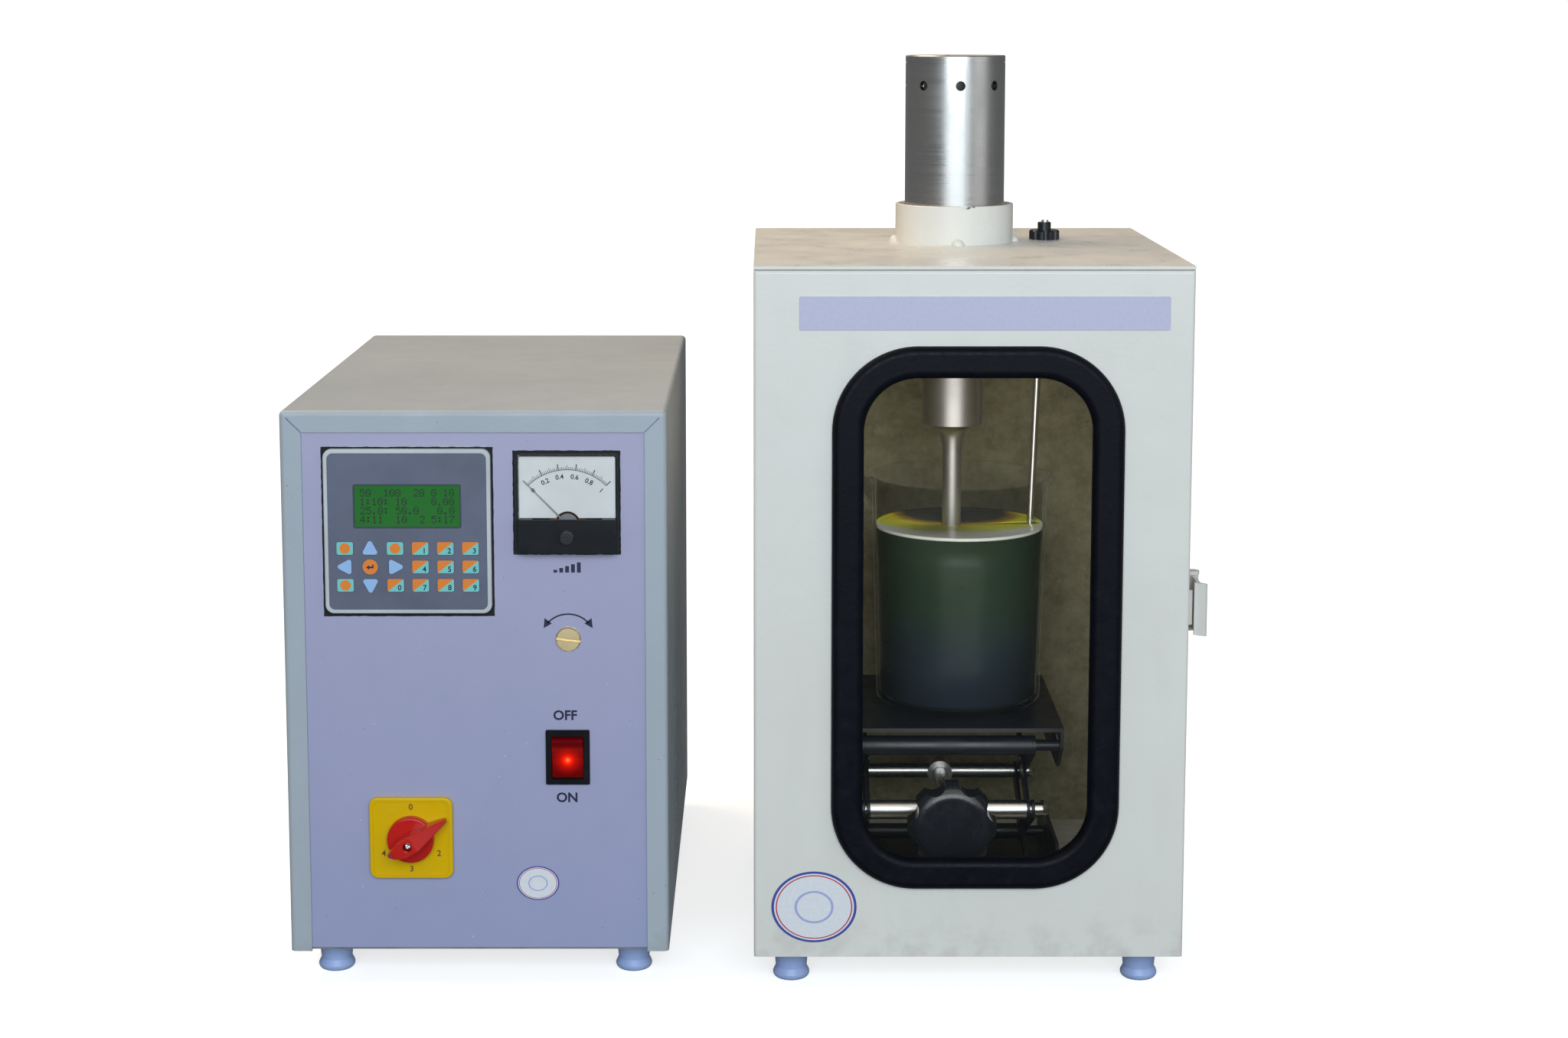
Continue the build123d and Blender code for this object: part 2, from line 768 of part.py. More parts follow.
def selector_body():
    """The cam decks behind the panel, on their mounting plate."""
    x, z = gen_x + selector_x, selector_z
    size = selector_body_size
    decks = slab(x, z, size + 6, size + 6, 4, plate_back, plate_back + 4)
    pitch = (selector_body_depth - 4) / 4
    for deck in range(4):
        start = plate_back + 4 + deck * pitch
        decks = decks + slab(x, z, size, size, 3, start, start + pitch - 1.5)
        decks = decks + slab(x, z, size - 4, size - 4, 3, start + pitch - 1.5, start + pitch)
    return decks - rod_y(selector_shaft_radius + running_fit, x, plate_back - 1, plate_back + 30, z)


def selector_knob():
    """A disc with a tall grip across it, which narrows to a point."""
    x, z = gen_x + selector_x, selector_z
    base = panel_y - selector_base
    disc = rod_y(selector_disc_radius, x, base - selector_disc_height, base, z)
    disc = fillet(front_edges(disc), 1.2)
    tail, reach, half = selector_pointer_tail, selector_pointer_reach, selector_pointer_width / 2
    top = selector_height
    plan = Polyline(
        (-tail, -1), (-tail * 0.3, -half), (tail * 0.35, -half), (reach, -1),
        (reach, 1), (tail * 0.35, half), (-tail * 0.3, half), (-tail, 1), close=True
    )
    grip = extrude(front_plane(x, base - 1.2, z) * make_face(plan), amount=selector_height)
    profile = Polyline(
        (-tail - 1, 0), (-tail - 1, top * 0.72), (-tail * 0.7, top), (tail * 0.3, top),
        (reach + 1, selector_disc_height + 0.5), (reach + 1, 0), close=True
    )
    side = Plane(origin=(x, base, z - half - 1), x_dir=(1, 0, 0), z_dir=(0, 0, 1))
    wall = extrude(side * Rot(0, 0, 0) * mirror(make_face(profile), Plane.XZ), amount=selector_pointer_width + 2)
    grip = grip & wall
    top_edges = grip.edges().filter_by(lambda edge: edge.center().Y < base - selector_disc_height - 1)
    grip = fillet(top_edges, 0.7)
    shaft = rod_y(selector_shaft_radius, x, base - 1, plate_back + 28, z)
    knob = disc + grip + shaft
    knob = knob - rod_y(2.7, x, base - selector_height - 2, base - selector_screw_height + 2.5, z)
    lean = selector_rest_angle - 90
    return Pos(x, 0, z) * Rot(0, lean, 0) * Pos(-x, 0, -z) * knob


def selector_screw():
    x, z = gen_x + selector_x, selector_z
    base = panel_y - selector_base
    seat = base - selector_screw_height + 2.5
    head = rod_y(2.3, x, seat - 2.5, seat, z)
    head = fillet(front_edges(head), 0.9)
    for turn in (25, 115):
        cross = Pos(x, seat - 2.4, z) * Rot(0, turn, 0) * Box(2.6, 1.6, 0.6)
        head = head - cross
    return head


def transformer():
    """An E-I core with its winding, on the floor near the back."""
    x = gen_x + transformer_x
    y1 = gen_back - transformer_back_gap
    y0 = y1 - core_stack
    z0 = gen_bottom + gen_sheet
    leg = core_width / 6
    core = block((x - core_width / 2, x + core_width / 2), (y0, y1), (z0, z0 + core_height))
    for side in (-1, 1):
        middle = x + side * core_width / 6 * 1.5
        window = block((middle - leg / 2, middle + leg / 2), (y0 - 1, y1 + 1), (z0 + leg, z0 + core_height - leg))
        core = core - window
    half = 2 * leg - fit
    coil = block((x - half, x + half), (y0 - leg, y1 + leg), (z0 + leg + fit, z0 + core_height - leg - fit))
    coil = fillet(coil.edges().filter_by(Axis.Z), 4)
    coil = coil - block((x - leg - fit, x + leg + fit), (y0 - fit, y1 + fit), (z0, z0 + core_height))
    return [core, coil]


board_x = gen_x + 35.0
board_y = gen_front + 90.0


def driver_board():
    """The circuit board on four standoffs, with its capacitors, coils and terminal strip."""
    z0 = gen_bottom + gen_sheet
    low = z0 + standoff_height
    high = low + board_thickness
    x0, y0 = board_x - board_width / 2, board_y
    solids = [block((x0, x0 + board_width), (y0, y0 + board_length), (low, high))]
    for side in (8, board_width - 8):
        for row in (8, board_length - 8):
            solids.append(rod_z(3, x0 + side, y0 + row, z0, low))
    for number in range(3):
        solids.append(rod_z(11, x0 + 24 + number * 26, y0 + 30, high, high + 38))
    ring = rod_z(14, x0 + 30, y0 + 78, high, high + 14) - rod_z(7, x0 + 30, y0 + 78, high - 1, high + 15)
    solids.append(ring)
    solids.append(block((x0 + 56, x0 + 96), (y0 + 66, y0 + 96), (high, high + 26)))
    solids.append(block((x0 + 12, x0 + 92), (y0 + 128, y0 + 139), (high, high + 14)))
    return solids


def heat_sink():
    """A finned bar on the floor beside the board, with four transistors on its flat face."""
    x0 = gen_left + gen_sheet + lip_height
    z0 = gen_bottom + gen_sheet
    y0, y1 = board_y, board_y + board_length
    back = block((x0 + sink_width - 6, x0 + sink_width), (y0, y1), (z0, z0 + sink_height))
    pitch = (sink_height - 2.5) / (sink_fins - 1)
    for fin in range(sink_fins):
        low = z0 + fin * pitch
        back = back + block((x0, x0 + sink_width - 5), (y0, y1), (low, low + 2.5))
    face = x0 + sink_width
    chips = [
        block((face, face + 5), (y0 + 15 + n * 34, y0 + 31 + n * 34), (z0 + 30, z0 + 50)) for n in range(4)
    ]
    return [back] + chips


fan_y1 = gen_back - gen_sheet
fan_y0 = fan_y1 - fan_depth


def fan_frame():
    x = gen_x + fan_x
    frame = slab(x, fan_z, fan_size, fan_size, 5, fan_y0, fan_y1)
    frame = frame - rod_y(fan_bore_radius, x, fan_y0 - 1, fan_y1 + 1, fan_z)
    for corner_x in (-1, 1):
        for corner_z in (-1, 1):
            reach = fan_size / 2 - 4.25
            frame = frame - rod_y(2.2, x + corner_x * reach, fan_y0 - 1, fan_y1 + 1, fan_z + corner_z * reach)
    hub = rod_y(fan_hub_radius, x, fan_y1 - 5, fan_y1 - 1, fan_z)
    strut = Pos(x, fan_y1 - 3, fan_z) * Box(2 * fan_bore_radius + 1, 4, 4)
    for turn in (0, 90):
        hub = hub + Pos(x, 0, fan_z) * Rot(0, turn, 0) * Pos(-x, 0, -fan_z) * strut
    frame = frame + hub
    return frame - rod_y(1.5 + running_fit, x, fan_y1 - 10, fan_y1 - 2, fan_z)


def fan_rotor():
    x = gen_x + fan_x
    front, back = fan_y0 + 1.5, fan_y1 - 5.5
    hub = rod_y(fan_hub_radius, x, front, back, fan_z)
    hub = fillet(front_edges(hub), 1.5)
    rotor = hub + rod_y(1.5, x, back - 1, fan_y1 - 2.5, fan_z)
    reach = fan_bore_radius - 1.2
    blade = Pos(reach / 2, 0, 0) * Rot(32, 0, 0) * Box(reach, 1.6, 19)
    for number in range(fan_blades):
        turn = Rot(0, number * 360 / fan_blades, 0)
        rotor = rotor + Pos(x, (front + back) / 2, fan_z) * turn * blade
    limit = rod_y(reach, x, front, fan_y1 - 2.5, fan_z)
    return rotor & limit


def rear_sockets():
    """The mains inlet, the fuse holder and the converter's socket."""
    x, z = gen_x + inlet_x, inlet_z
    start, rim = gen_back - gen_sheet - inlet_depth, gen_back + 2.5
    inlet = slab(x, z, inlet_width - 0.4, inlet_height - 0.4, 2, start, gen_back)
    inlet = inlet + slab(x, z, inlet_width + 14, inlet_height + 6, 3, gen_back, rim)
    inlet = inlet - slab(x, z, inlet_width - 4, inlet_height - 4, 1.5, gen_back - 15, rim + 1)
    for pin_x, pin_z in ((-7, 1), (0, 4.5), (7, 1)):
        low = z + pin_z - 2
        inlet = inlet + block((x + pin_x - 1, x + pin_x + 1), (gen_back - 16, gen_back - 2), (low, low + 4))
    x, z = gen_x + socket_x, socket_z
    socket = rod_y(socket_radius - 2.3, x, gen_back - 14, gen_back, z)
    socket = socket + rod_y(socket_radius + 2, x, gen_back, gen_back + 2.5, z)
    socket = socket + rod_y(socket_radius - 1.5, x, gen_back + 2, gen_back + socket_proud, z)
    socket = socket - rod_y(socket_radius - 4, x, gen_back - 8, gen_back + socket_proud + 1, z)
    for turn in range(4):
        angle = radians(45 + 90 * turn)
        pin = rod_y(1.2, x + 4.6 * cos(angle), gen_back - 9, gen_back + 2, z + 4.6 * sin(angle))
        socket = socket + pin
    x, z = gen_x + fuse_x, fuse_z
    fuse = rod_y(fuse_radius - 2.3, x, gen_back - 28, gen_back, z)
    fuse = fuse + rod_y(fuse_radius, x, gen_back, gen_back + 5, z)
    fuse = fuse - block((x - 6, x + 6), (gen_back + 4, gen_back + 6), (z - 0.8, z + 0.8))
    return [inlet, socket, fuse]


# Sound enclosure

case_foot_rows = (case_front + case_foot_inset, case_back - case_foot_inset)
shell_front = case_front + side_start


def sensor_axis():
    """The sensor leans a little towards the beaker; the direction points up along it."""
    tip = Vector(case_x + sensor_tip_x, case_front + sensor_tip_depth, sensor_tip_z)
    top = Vector(case_x + gland_x, case_front + gland_depth, case_top)
    return tip, (top - tip).normalized()


def sensor_hole(radius, start, length):
    """A round bar or bore along the sensor's axis, start mm above its tip."""
    tip, direction = sensor_axis()
    plane = Plane(origin=tip + direction * start, z_dir=direction)
    return extrude(plane * Circle(radius), amount=length)


def case_shell():
    """The welded box: the roof runs out over the door, and the floor runs out behind its hem."""
    x = (case_left, case_right)
    roof_front = block(x, (case_front, shell_front + 1), (case_top - case_sheet, case_top))
    body = block(x, (shell_front, case_back), (case_bottom, case_top))
    rear_edges = body.faces().sort_by(Axis.Y)[-1].edges().filter_by(Axis.Z)
    body = fillet(rear_edges, case_edge)
    body = body + roof_front
    inner = case_sheet
    hollow = block(
        (x[0] + inner, x[1] - inner), (case_front - 1, case_back - inner), (case_floor, case_top - inner)
    )
    body = body - hollow
    floor_front = block(x, (case_front + door_sheet + 1, shell_front + 1), (case_bottom, case_floor))
    corner = block(
        (x[0] - 1, door_axis_x - 2), (case_front, shell_front), (case_bottom - 1, case_floor + 1)
    )
    tab = rod_z(door_axis_inset - door_sheet - door_gap, door_axis_x, door_axis_y, case_bottom, case_floor)
    body = body + (floor_front - corner + tab)
    body = body - rod_z(converter_neck_radius + 1.5, probe_x, probe_y, case_top - 9, case_top + 9)
    body = body - sensor_hole(sensor_radius + 2, 120, 80)
    return body - foot_holes(case_x, case_foot_x, case_foot_rows[0], case_foot_rows[1], case_bottom)


def case_lining():
    """Sound lining on both sides, the back and the roof."""
    x = (case_left + case_sheet, case_right - case_sheet)
    y = (shell_front + lining_gap, case_back - case_sheet)
    z = (case_floor, case_top - case_sheet)
    inner = lining_thickness
    lining = block(x, y, z) - block((x[0] + inner, x[1] - inner), (y[0] - 1, y[1] - inner), (z[0] - 1, z[1] - inner))
    lining = lining - rod_z(collar_radius - collar_wall, probe_x, probe_y, z[1] - inner - 1, z[1] + 1)
    return lining - sensor_hole(sensor_radius + 4, 120, 80)


def collar():
    """The welded guide tube, with four tacks at its foot and a chipped notch in the front of its rim."""
    tube = rod_z(collar_radius, probe_x, probe_y, case_top, collar_top)
    tube = tube - rod_z(collar_radius - collar_wall, probe_x, probe_y, case_top - 1, collar_top + 1)
    tube = fillet(tube.faces().sort_by(Axis.Z)[-1].edges(), 0.8)
    for side in (-1, 0, 1, 2):
        angle = radians(90 * side)
        blob = Pos(probe_x + collar_radius * cos(angle), probe_y + collar_radius * sin(angle), case_top)
        tube = tube + blob * Sphere(collar_weld_radius)
    tube = tube - block(
        (probe_x - 60, probe_x + 60), (probe_y - 60, probe_y + 60), (case_top - 9, case_top)
    )
    tube = tube - rod_z(collar_radius - collar_wall, probe_x, probe_y, case_top - 1, collar_top + 1)
    for reach, size in ((3.0, 1.6), (6.0, 2.2), (9.5, 1.3)):
        tube = tube - rod_y(size, probe_x + reach, probe_y - 45, probe_y - 25, collar_top + 0.4)
    return tube


def collar_ring():
    """The nylon ring in the collar: the converter's shoulder sits on its lower lip."""
    outer = collar_radius - collar_wall - fit / 2
    high = collar_top - collar_ring_drop
    ring = rod_z(outer, probe_x, probe_y, case_top, high)
    ring = ring - rod_z(converter_radius + running_fit, probe_x, probe_y, shoulder_z, high + 1)
    return ring - rod_z(converter_neck_radius + running_fit, probe_x, probe_y, case_top - 1, shoulder_z + 1)


def converter_housing():
    """The turned tube: a shoulder that seats in the collar, a neck below it and a ring of holes on top."""
    high = converter_top_z - converter_cap
    lip = horn_radius + 2.0
    profile = (
        (converter_radius, shoulder_z),
        (converter_radius, high),
        (converter_radius - converter_wall, high),
        (converter_radius - converter_wall, shoulder_z + converter_wall),
        (converter_neck_radius - converter_wall, shoulder_z + converter_wall),
        (converter_neck_radius - converter_wall, converter_low + 4),
        (lip, converter_low + 4),
        (lip, converter_low),
        (converter_neck_radius, converter_low),
        (converter_neck_radius, shoulder_z),
    )
    tube = turned(profile, 0, 0)
    tube = Pos(probe_x, probe_y, 0) * Rot(0, 0, 24) * tube
    z = converter_top_z - converter_hole_drop
    for number in range(converter_holes // 2):
        hole = Rot(0, 0, number * 360 / converter_holes + 2) * Rot(0, 90, 0) * Cylinder(converter_hole_radius, 80)
        tube = tube - Pos(probe_x, probe_y, z) * hole
    return tube


def converter_cap_piece():
    """The lid: a spigot inside the tube, a groove and a flat top with a small centre hole."""
    low = converter_top_z - converter_cap
    inner = converter_radius - converter_wall - fit
    profile = (
        (0, low - 4),
        (inner, low - 4),
        (inner, low),
        (converter_radius - 0.6, low),
        (converter_radius - 0.6, low + converter_groove),
        (converter_radius, low + converter_groove),
        (converter_radius, converter_top_z - 0.6),
        (converter_radius - 0.6, converter_top_z),
        (0, converter_top_z),
    )
    lid = turned(profile, probe_x, probe_y)
    return lid - rod_z(2.5, probe_x + 9, probe_y - 8, low - 5, converter_top_z + 1)


flange_low = converter_low + 4
stack_low = flange_low + horn_flange_thickness
front_mass = 16.0
back_mass = 34.0


def horn():
    """The stepped horn: the clamped flange, the wide half, the fillet and the slim half."""
    top = Line((0, stack_low), (horn_flange_radius, stack_low))
    flange = Line((horn_flange_radius, stack_low), (horn_flange_radius, flange_low))
    under = Line((horn_flange_radius, flange_low), (horn_radius, flange_low))
    wide = Line((horn_radius, flange_low), (horn_radius, horn_step_z))
    neck_z = horn_step_z - horn_fillet_height
    fillet_curve = Spline(
        (horn_radius, horn_step_z),
        (horn_tip_radius, neck_z),
        tangents=[(-1, -0.12), (0, -1)],
    )
    slim = Line((horn_tip_radius, neck_z), (horn_tip_radius, horn_tip_z + 0.5))
    tip = Line((horn_tip_radius, horn_tip_z + 0.5), (horn_tip_radius - 0.5, horn_tip_z))
    end = Line((horn_tip_radius - 0.5, horn_tip_z), (0, horn_tip_z))
    axis_line = Line((0, horn_tip_z), (0, stack_low))
    outline = make_face([top, flange, under, wide, fillet_curve, slim, tip, end, axis_line])
    return Pos(probe_x, probe_y, 0) * revolve(Plane.XZ * outline, Axis.Z)


piezo_low = stack_low + front_mass


def piezo_rings():
    rings = []
    for number in range(piezo_count):
        low = piezo_low + number * (piezo_thickness + 0.3)
        rings.append(
            rod_z(horn_radius, probe_x, probe_y, low, low + piezo_thickness)
            - rod_z(piezo_bore, probe_x, probe_y, low - 1, low + piezo_thickness + 1)
        )
        electrode = rod_z(horn_radius, probe_x, probe_y, low + piezo_thickness, low + piezo_thickness + 0.3)
        tab = block(
            (probe_x - 3, probe_x + 3),
            (probe_y - horn_radius - 5, probe_y - piezo_bore - 2),
            (low + piezo_thickness, low + piezo_thickness + 0.3),
        )
        bore = rod_z(piezo_bore, probe_x, probe_y, low - 1, low + piezo_thickness + 1)
        rings.append(electrode + tab - bore)
    return rings


def stack_masses():
    """The front and back masses and the bolt that clamps the rings between them."""
    back_low = piezo_low + piezo_count * (piezo_thickness + 0.3)
    front = rod_z(horn_radius, probe_x, probe_y, stack_low, piezo_low)
    back = rod_z(horn_radius, probe_x, probe_y, back_low, back_low + back_mass)
    bore = rod_z(stack_bolt_radius + running_fit, probe_x, probe_y, stack_low + 4, back_low + back_mass + 1)
    bolt = rod_z(stack_bolt_radius, probe_x, probe_y, stack_low + 4, back_low + back_mass)
    head_low = back_low + back_mass
    head = extrude(
        Plane(origin=(probe_x, probe_y, head_low)) * RegularPolygon(10, 6), amount=8
    )
    return [front - bore, back - bore, bolt + head]


def sensor_gland():
    """The scalloped gland nut and the grey ferrule on it."""
    x, y = case_x + gland_x, case_front + gland_depth
    nut = rod_z(gland_radius, x, y, case_top, case_top + gland_height)
    nut = chamfer(nut.edges().group_by(Axis.Z)[-1], 0.8)
    for number in range(gland_scallops):
        angle = radians((number + 0.5) * 360 / gland_scallops)
        reach = gland_radius + 1.2
        nut = nut - rod_z(2.3, x + reach * cos(angle), y + reach * sin(angle), case_top - 1, case_top + 9)
    high = case_top + gland_height
    ferrule = rod_z(stub_radius, x, y, high, high + stub_height)
    ferrule = fillet(ferrule.edges().group_by(Axis.Z)[-1], 0.8)
    bore = sensor_hole(sensor_radius + running_fit, 120, 120)
    return [nut - bore, ferrule - bore]


sensor_length = case_top + gland_height + stub_height + sensor_head - sensor_tip_z


def temp_sensor():
    """A steel rod that ends just above its ferrule."""
    return sensor_hole(sensor_radius, 0.0, sensor_length)


# Door

def door_panel():
    """A shallow tray whose skin hangs below its lower flange as a hem."""
    x = (case_left, case_right)
    tray = block(x, (case_front, case_front + door_depth), (door_low, door_high))
    face = tray.faces().sort_by(Axis.Y)[0]
    bends = face.edges().filter_by(Axis.Z) + face.edges().filter_by(Axis.X).sort_by(Axis.Z)[-1:]
    tray = fillet(bends, door_bend)
    inner = door_sheet
    back = case_front + door_depth + 1
    tray = tray - block(
        (x[0] + inner, x[1] - inner), (case_front + inner, back), (door_low + door_hem + inner, door_high - inner)
    )
    tray = tray - block((x[0] - 1, x[1] + 1), (case_front + inner, back), (door_low - 1, door_low + door_hem))
    width = seal_width - 2 * seal_grip
    height = seal_height - 2 * seal_grip
    tray = tray - slab(
        case_x + window_x, window_z, width, height, seal_corner - seal_grip, case_front - 1, case_front + inner + 1
    )
    return tray - rod_z(door_pin_radius + running_fit, door_axis_x, door_axis_y, door_low, door_high + 1)


def window_pane():
    width = seal_width - 2 * (seal_band - pane_grip)
    height = seal_height - 2 * (seal_band - pane_grip)
    corner = seal_corner - (seal_band - pane_grip)
    start = case_front + (door_sheet - pane_thickness) / 2
    return slab(case_x + window_x, window_z, width, height, corner, start, start + pane_thickness)


def window_seal():
    """The rubber moulding, bulging on both sides, with its grooves for the skin and the pane."""
    x, z = case_x + window_x, window_z
    y0, y1 = case_front - seal_proud, case_front + seal_inner_depth
    ring = slab(x, z, seal_width, seal_height, seal_corner, y0, y1)
    band = 2 * seal_band
    ring = ring - slab(x, z, seal_width - band, seal_height - band, seal_corner - seal_band, y0 - 1, y1 + 1)
    front = ring.faces().sort_by(Axis.Y)[0].edges()
    back = ring.faces().sort_by(Axis.Y)[-1].edges()
    ring = fillet(front + back, seal_round)
    grip = 2 * seal_grip
    skin = slab(x, z, seal_width + 20, seal_height + 20, seal_corner, case_front, case_front + door_sheet)
    skin = skin - slab(
        x, z, seal_width - grip, seal_height - grip, seal_corner - seal_grip, case_front - 1, case_front + 9
    )
    return ring - skin - window_pane()


def door_gasket():
    """The foam ring behind the skin that meets the lining's front edge."""
    z = (door_low + door_hem + 8, door_high - 8)
    x = (case_left + gasket_inset, case_right - gasket_inset)
    y = (case_front + door_sheet, case_front + gasket_back)
    width = gasket_width
    ring = block(x, y, z)
    return ring - block((x[0] + width, x[1] - width), (y[0] - 1, y[1] + 1), (z[0] + width, z[1] - width))


def hinge_pins():
    top = case_top - case_sheet
    low = door_low + door_hem + door_sheet
    upper = rod_z(door_pin_radius, door_axis_x, door_axis_y, door_high - door_sheet - door_pin_reach, top)
    lower = rod_z(door_pin_radius, door_axis_x, door_axis_y, case_floor, low + door_pin_reach)
    return [upper, lower]


# Latch

latch_low = latch_z - latch_height / 2
latch_high = latch_z + latch_height / 2
latch_axis_x = case_right + latch_pin_x
latch_axis_y = case_front + latch_pin_y


def latch_base():
    """The base on the side wall: two ears, the pin between them and two screws."""
    start = case_front + latch_base_start
    end = start + latch_base_length
    base = block((case_right, case_right + 1.5), (start, end), (latch_low, latch_high))
    for low in (latch_low, latch_high - latch_ear):
        ear = block((case_right, latch_axis_x), (latch_axis_y - 4, latch_axis_y + 4), (low, low + latch_ear))
        base = base + ear + rod_z(4.0, latch_axis_x, latch_axis_y, low, low + latch_ear)
    base = base - rod_z(latch_pin_radius + 0.02, latch_axis_x, latch_axis_y, latch_low - 1, latch_high + 1)
    pin = rod_z(latch_pin_radius, latch_axis_x, latch_axis_y, latch_low, latch_high)
    screws = [
        rod_x(2.8, case_right + 1.5, case_right + 3.0, end - 7, latch_z + lift) for lift in (-9, 9)
    ]
    return [base, pin] + screws


def latch_lever():
    """The lever turns on the pin; its hook stands just outside the keeper until it is pressed in."""
    low, high = latch_low + latch_ear + 0.2, latch_high - latch_ear - 0.2
    outline = Polyline(
        (5.0, latch_pin_y), (5.0, 6.6), (3.5, 6.6), (3.5, 4.2), (5.2, 3.4),
        (9.4, 0.8), (latch_proud, 2.1), (7.0, 5.6), (7.0, latch_pin_y), close=True
    )
    plane = Plane(origin=(case_right, case_front, low))
    arm = extrude(plane * make_face(outline), amount=high - low)
    barrel = rod_z(3.6, latch_axis_x, latch_axis_y, low, high)
    lever = arm + barrel
    return lever - rod_z(latch_pin_radius + running_fit, latch_axis_x, latch_axis_y, low - 1, high + 1)


def latch_keeper():
    low, high = latch_z - 10, latch_z + 10
    keeper = block((case_right, case_right + 3.2), (case_front + 8.2, case_front + 12), (low, high))
    return fillet(keeper.faces().sort_by(Axis.X)[-1].edges().filter_by(Axis.Z), 0.8)


# Laboratory jack

jack_left = jack_centre - jack_width / 2
jack_right = jack_centre + jack_width / 2
jack_y0 = case_front + jack_front
jack_y1 = jack_y0 + jack_plate_depth
slot_near = jack_rear_y - jack_arm_length * cos(radians(jack_low_angle))
slot_far = jack_rear_y - jack_arm_length * cos(radians(jack_high_angle))


def flange_outline():
    """Seen from the side, from the plate up: a short straight nose, then a slant down to the full height."""
    nose, slant, height, depth = jack_flange_nose, jack_flange_slant, jack_flange_height, jack_plate_depth
    return make_face(
        Polyline(
            (0, 0), (0, nose), (slant, height), (depth - slant, height), (depth, nose), (depth, 0), close=True
        )
    )


def jack_tray(upside_down):
    """A plate with a flange at each side. The front pivot slides in a slot, the rear one turns in a hole."""
    low = 0.0
    plate = block((jack_left, jack_right), (jack_y0, jack_y1), (low, jack_plate))
    tray = plate
    for x in (jack_left, jack_right - jack_flange):
        outline = side_plane(x, jack_y0, 0) * flange_outline()
        tray = tray + extrude(outline, amount=jack_flange)
    radius = rod_end_radius + running_fit
    rise = jack_pivot_rise
    length = slot_far - slot_near + 2 * radius
    slot_plane = side_plane(jack_left - 1, (slot_near + slot_far) / 2, rise)
    tray = tray - extrude(slot_plane * SlotOverall(length + 0.6, 2 * radius), amount=jack_width + 2)
    tray = tray - rod_x(radius, jack_left - 1, jack_right + 1, jack_rear_y, rise)
    if upside_down:
        tray = mirror(tray, Plane.XY)
        return Pos(0, 0, jack_top) * tray
    return Pos(0, 0, jack_floor) * tray


def arm(side, inner, start, end):
    """One flat link between two pivots, on the inner or outer layer of one side."""
    offset = arm_inner_x if inner else arm_outer_x
    x0 = jack_centre + (offset if side > 0 else -offset - arm_thickness)
    angle = atan2(end[1] - start[1], end[0] - start[0])
    middle = ((start[0] + end[0]) / 2, (start[1] + end[1]) / 2)
    plane = Plane(origin=(x0, middle[0], middle[1]), x_dir=(0, cos(angle), sin(angle)), z_dir=(1, 0, 0))
    link = extrude(plane * SlotCenterToCenter(jack_arm_length, arm_width), amount=arm_thickness)
    for y, z, radius in ((start[0], start[1], rod_end_radius), (end[0], end[1], rod_end_radius)):
        link = link - rod_x(radius + running_fit, x0 - 1, x0 + arm_thickness + 1, y, z)
    return link - rod_x(rivet_radius + running_fit, x0 - 1, x0 + arm_thickness + 1, middle[0], middle[1])


def cross_rod(radius, y, z, inner, end_x):
    """A rod across the jack: thick between the links, with slimmer ends through them."""
    shoulder = (arm_inner_x if inner else arm_outer_x) - fit
    body = rod_x(radius, jack_centre - shoulder, jack_centre + shoulder, y, z)
    return body + rod_x(rod_end_radius, jack_centre - end_x, jack_centre + end_x, y, z)


def rivets(y, z):
    """The centre pivots: each is a stud through both links with a head on each side."""
    solids = []
    for side in (-1, 1):
        low = arm_inner_x - fit
        high = arm_outer_x + arm_thickness + fit
        spans = (
            (rivet_radius, low, high),
            (rivet_head, low - rivet_head_height, low),
            (rivet_head, high, high + rivet_head_height),
        )
        stud = None
        for radius, near, far in spans:
            ends = sorted((jack_centre + side * near, jack_centre + side * far))
            piece = rod_x(radius, ends[0], ends[1], y, z)
            stud = piece if stud is None else stud + piece
        solids.append(stud)
    return solids


low_rear = (jack_rear_y, low_pivot_z)
low_front = (front_pivot_y, low_pivot_z)
mid_rear = (jack_rear_y, mid_pivot_z)
mid_front = (front_pivot_y, mid_pivot_z)
high_rear = (jack_rear_y, high_pivot_z)
high_front = (front_pivot_y, high_pivot_z)
flange_reach = jack_width / 2 - fit


def lower_main_arms():
    rod = cross_rod(rod_rear_radius, low_rear[0], low_rear[1], False, flange_reach)
    return [arm(side, False, low_rear, mid_front) for side in (-1, 1)] + [rod] + rivets(centre_y, low_cross_z)


def lower_cross_arms():
    rod = cross_rod(rod_front_radius, low_front[0], low_front[1], True, flange_reach)
    return [arm(side, True, low_front, mid_rear) for side in (-1, 1)] + [rod]


def upper_main_arms():
    rod = cross_rod(rod_rear_radius, high_rear[0], high_rear[1], True, flange_reach)
    return [arm(side, True, mid_front, high_rear) for side in (-1, 1)] + [rod] + rivets(centre_y, high_cross_z)


def upper_cross_arms():
    rod = cross_rod(rod_front_radius, high_front[0], high_front[1], False, flange_reach)
    return [arm(side, False, mid_rear, high_front) for side in (-1, 1)] + [rod]


def screw_rod(radius, y, z, clearance):
    """A rod with a boss in its middle for the spindle, and a domed nut on each end."""
    reach = arm_outer_x + arm_thickness + nut_length
    rod = cross_rod(radius, y, z, True, reach - nut_length)
    boss = rod_y(boss_radius, jack_centre, y - radius - 2, y + radius + 2, z)
    rod = rod + boss
    rod = rod - rod_y(spindle_radius + clearance, jack_centre, y - 20, y + 20, z)
    for side in (-1, 1):
        near = jack_centre + side * (arm_outer_x + arm_thickness + fit)
        far = near + side * (nut_length - nut_radius)
        nut = rod_x(nut_radius, min(near, far), max(near, far), y, z) + Pos(far, y, z) * Sphere(nut_radius)
        rod = rod + nut
    return rod


def jack_front_rod():
    return screw_rod(rod_front_radius, mid_front[0], mid_front[1], running_fit)


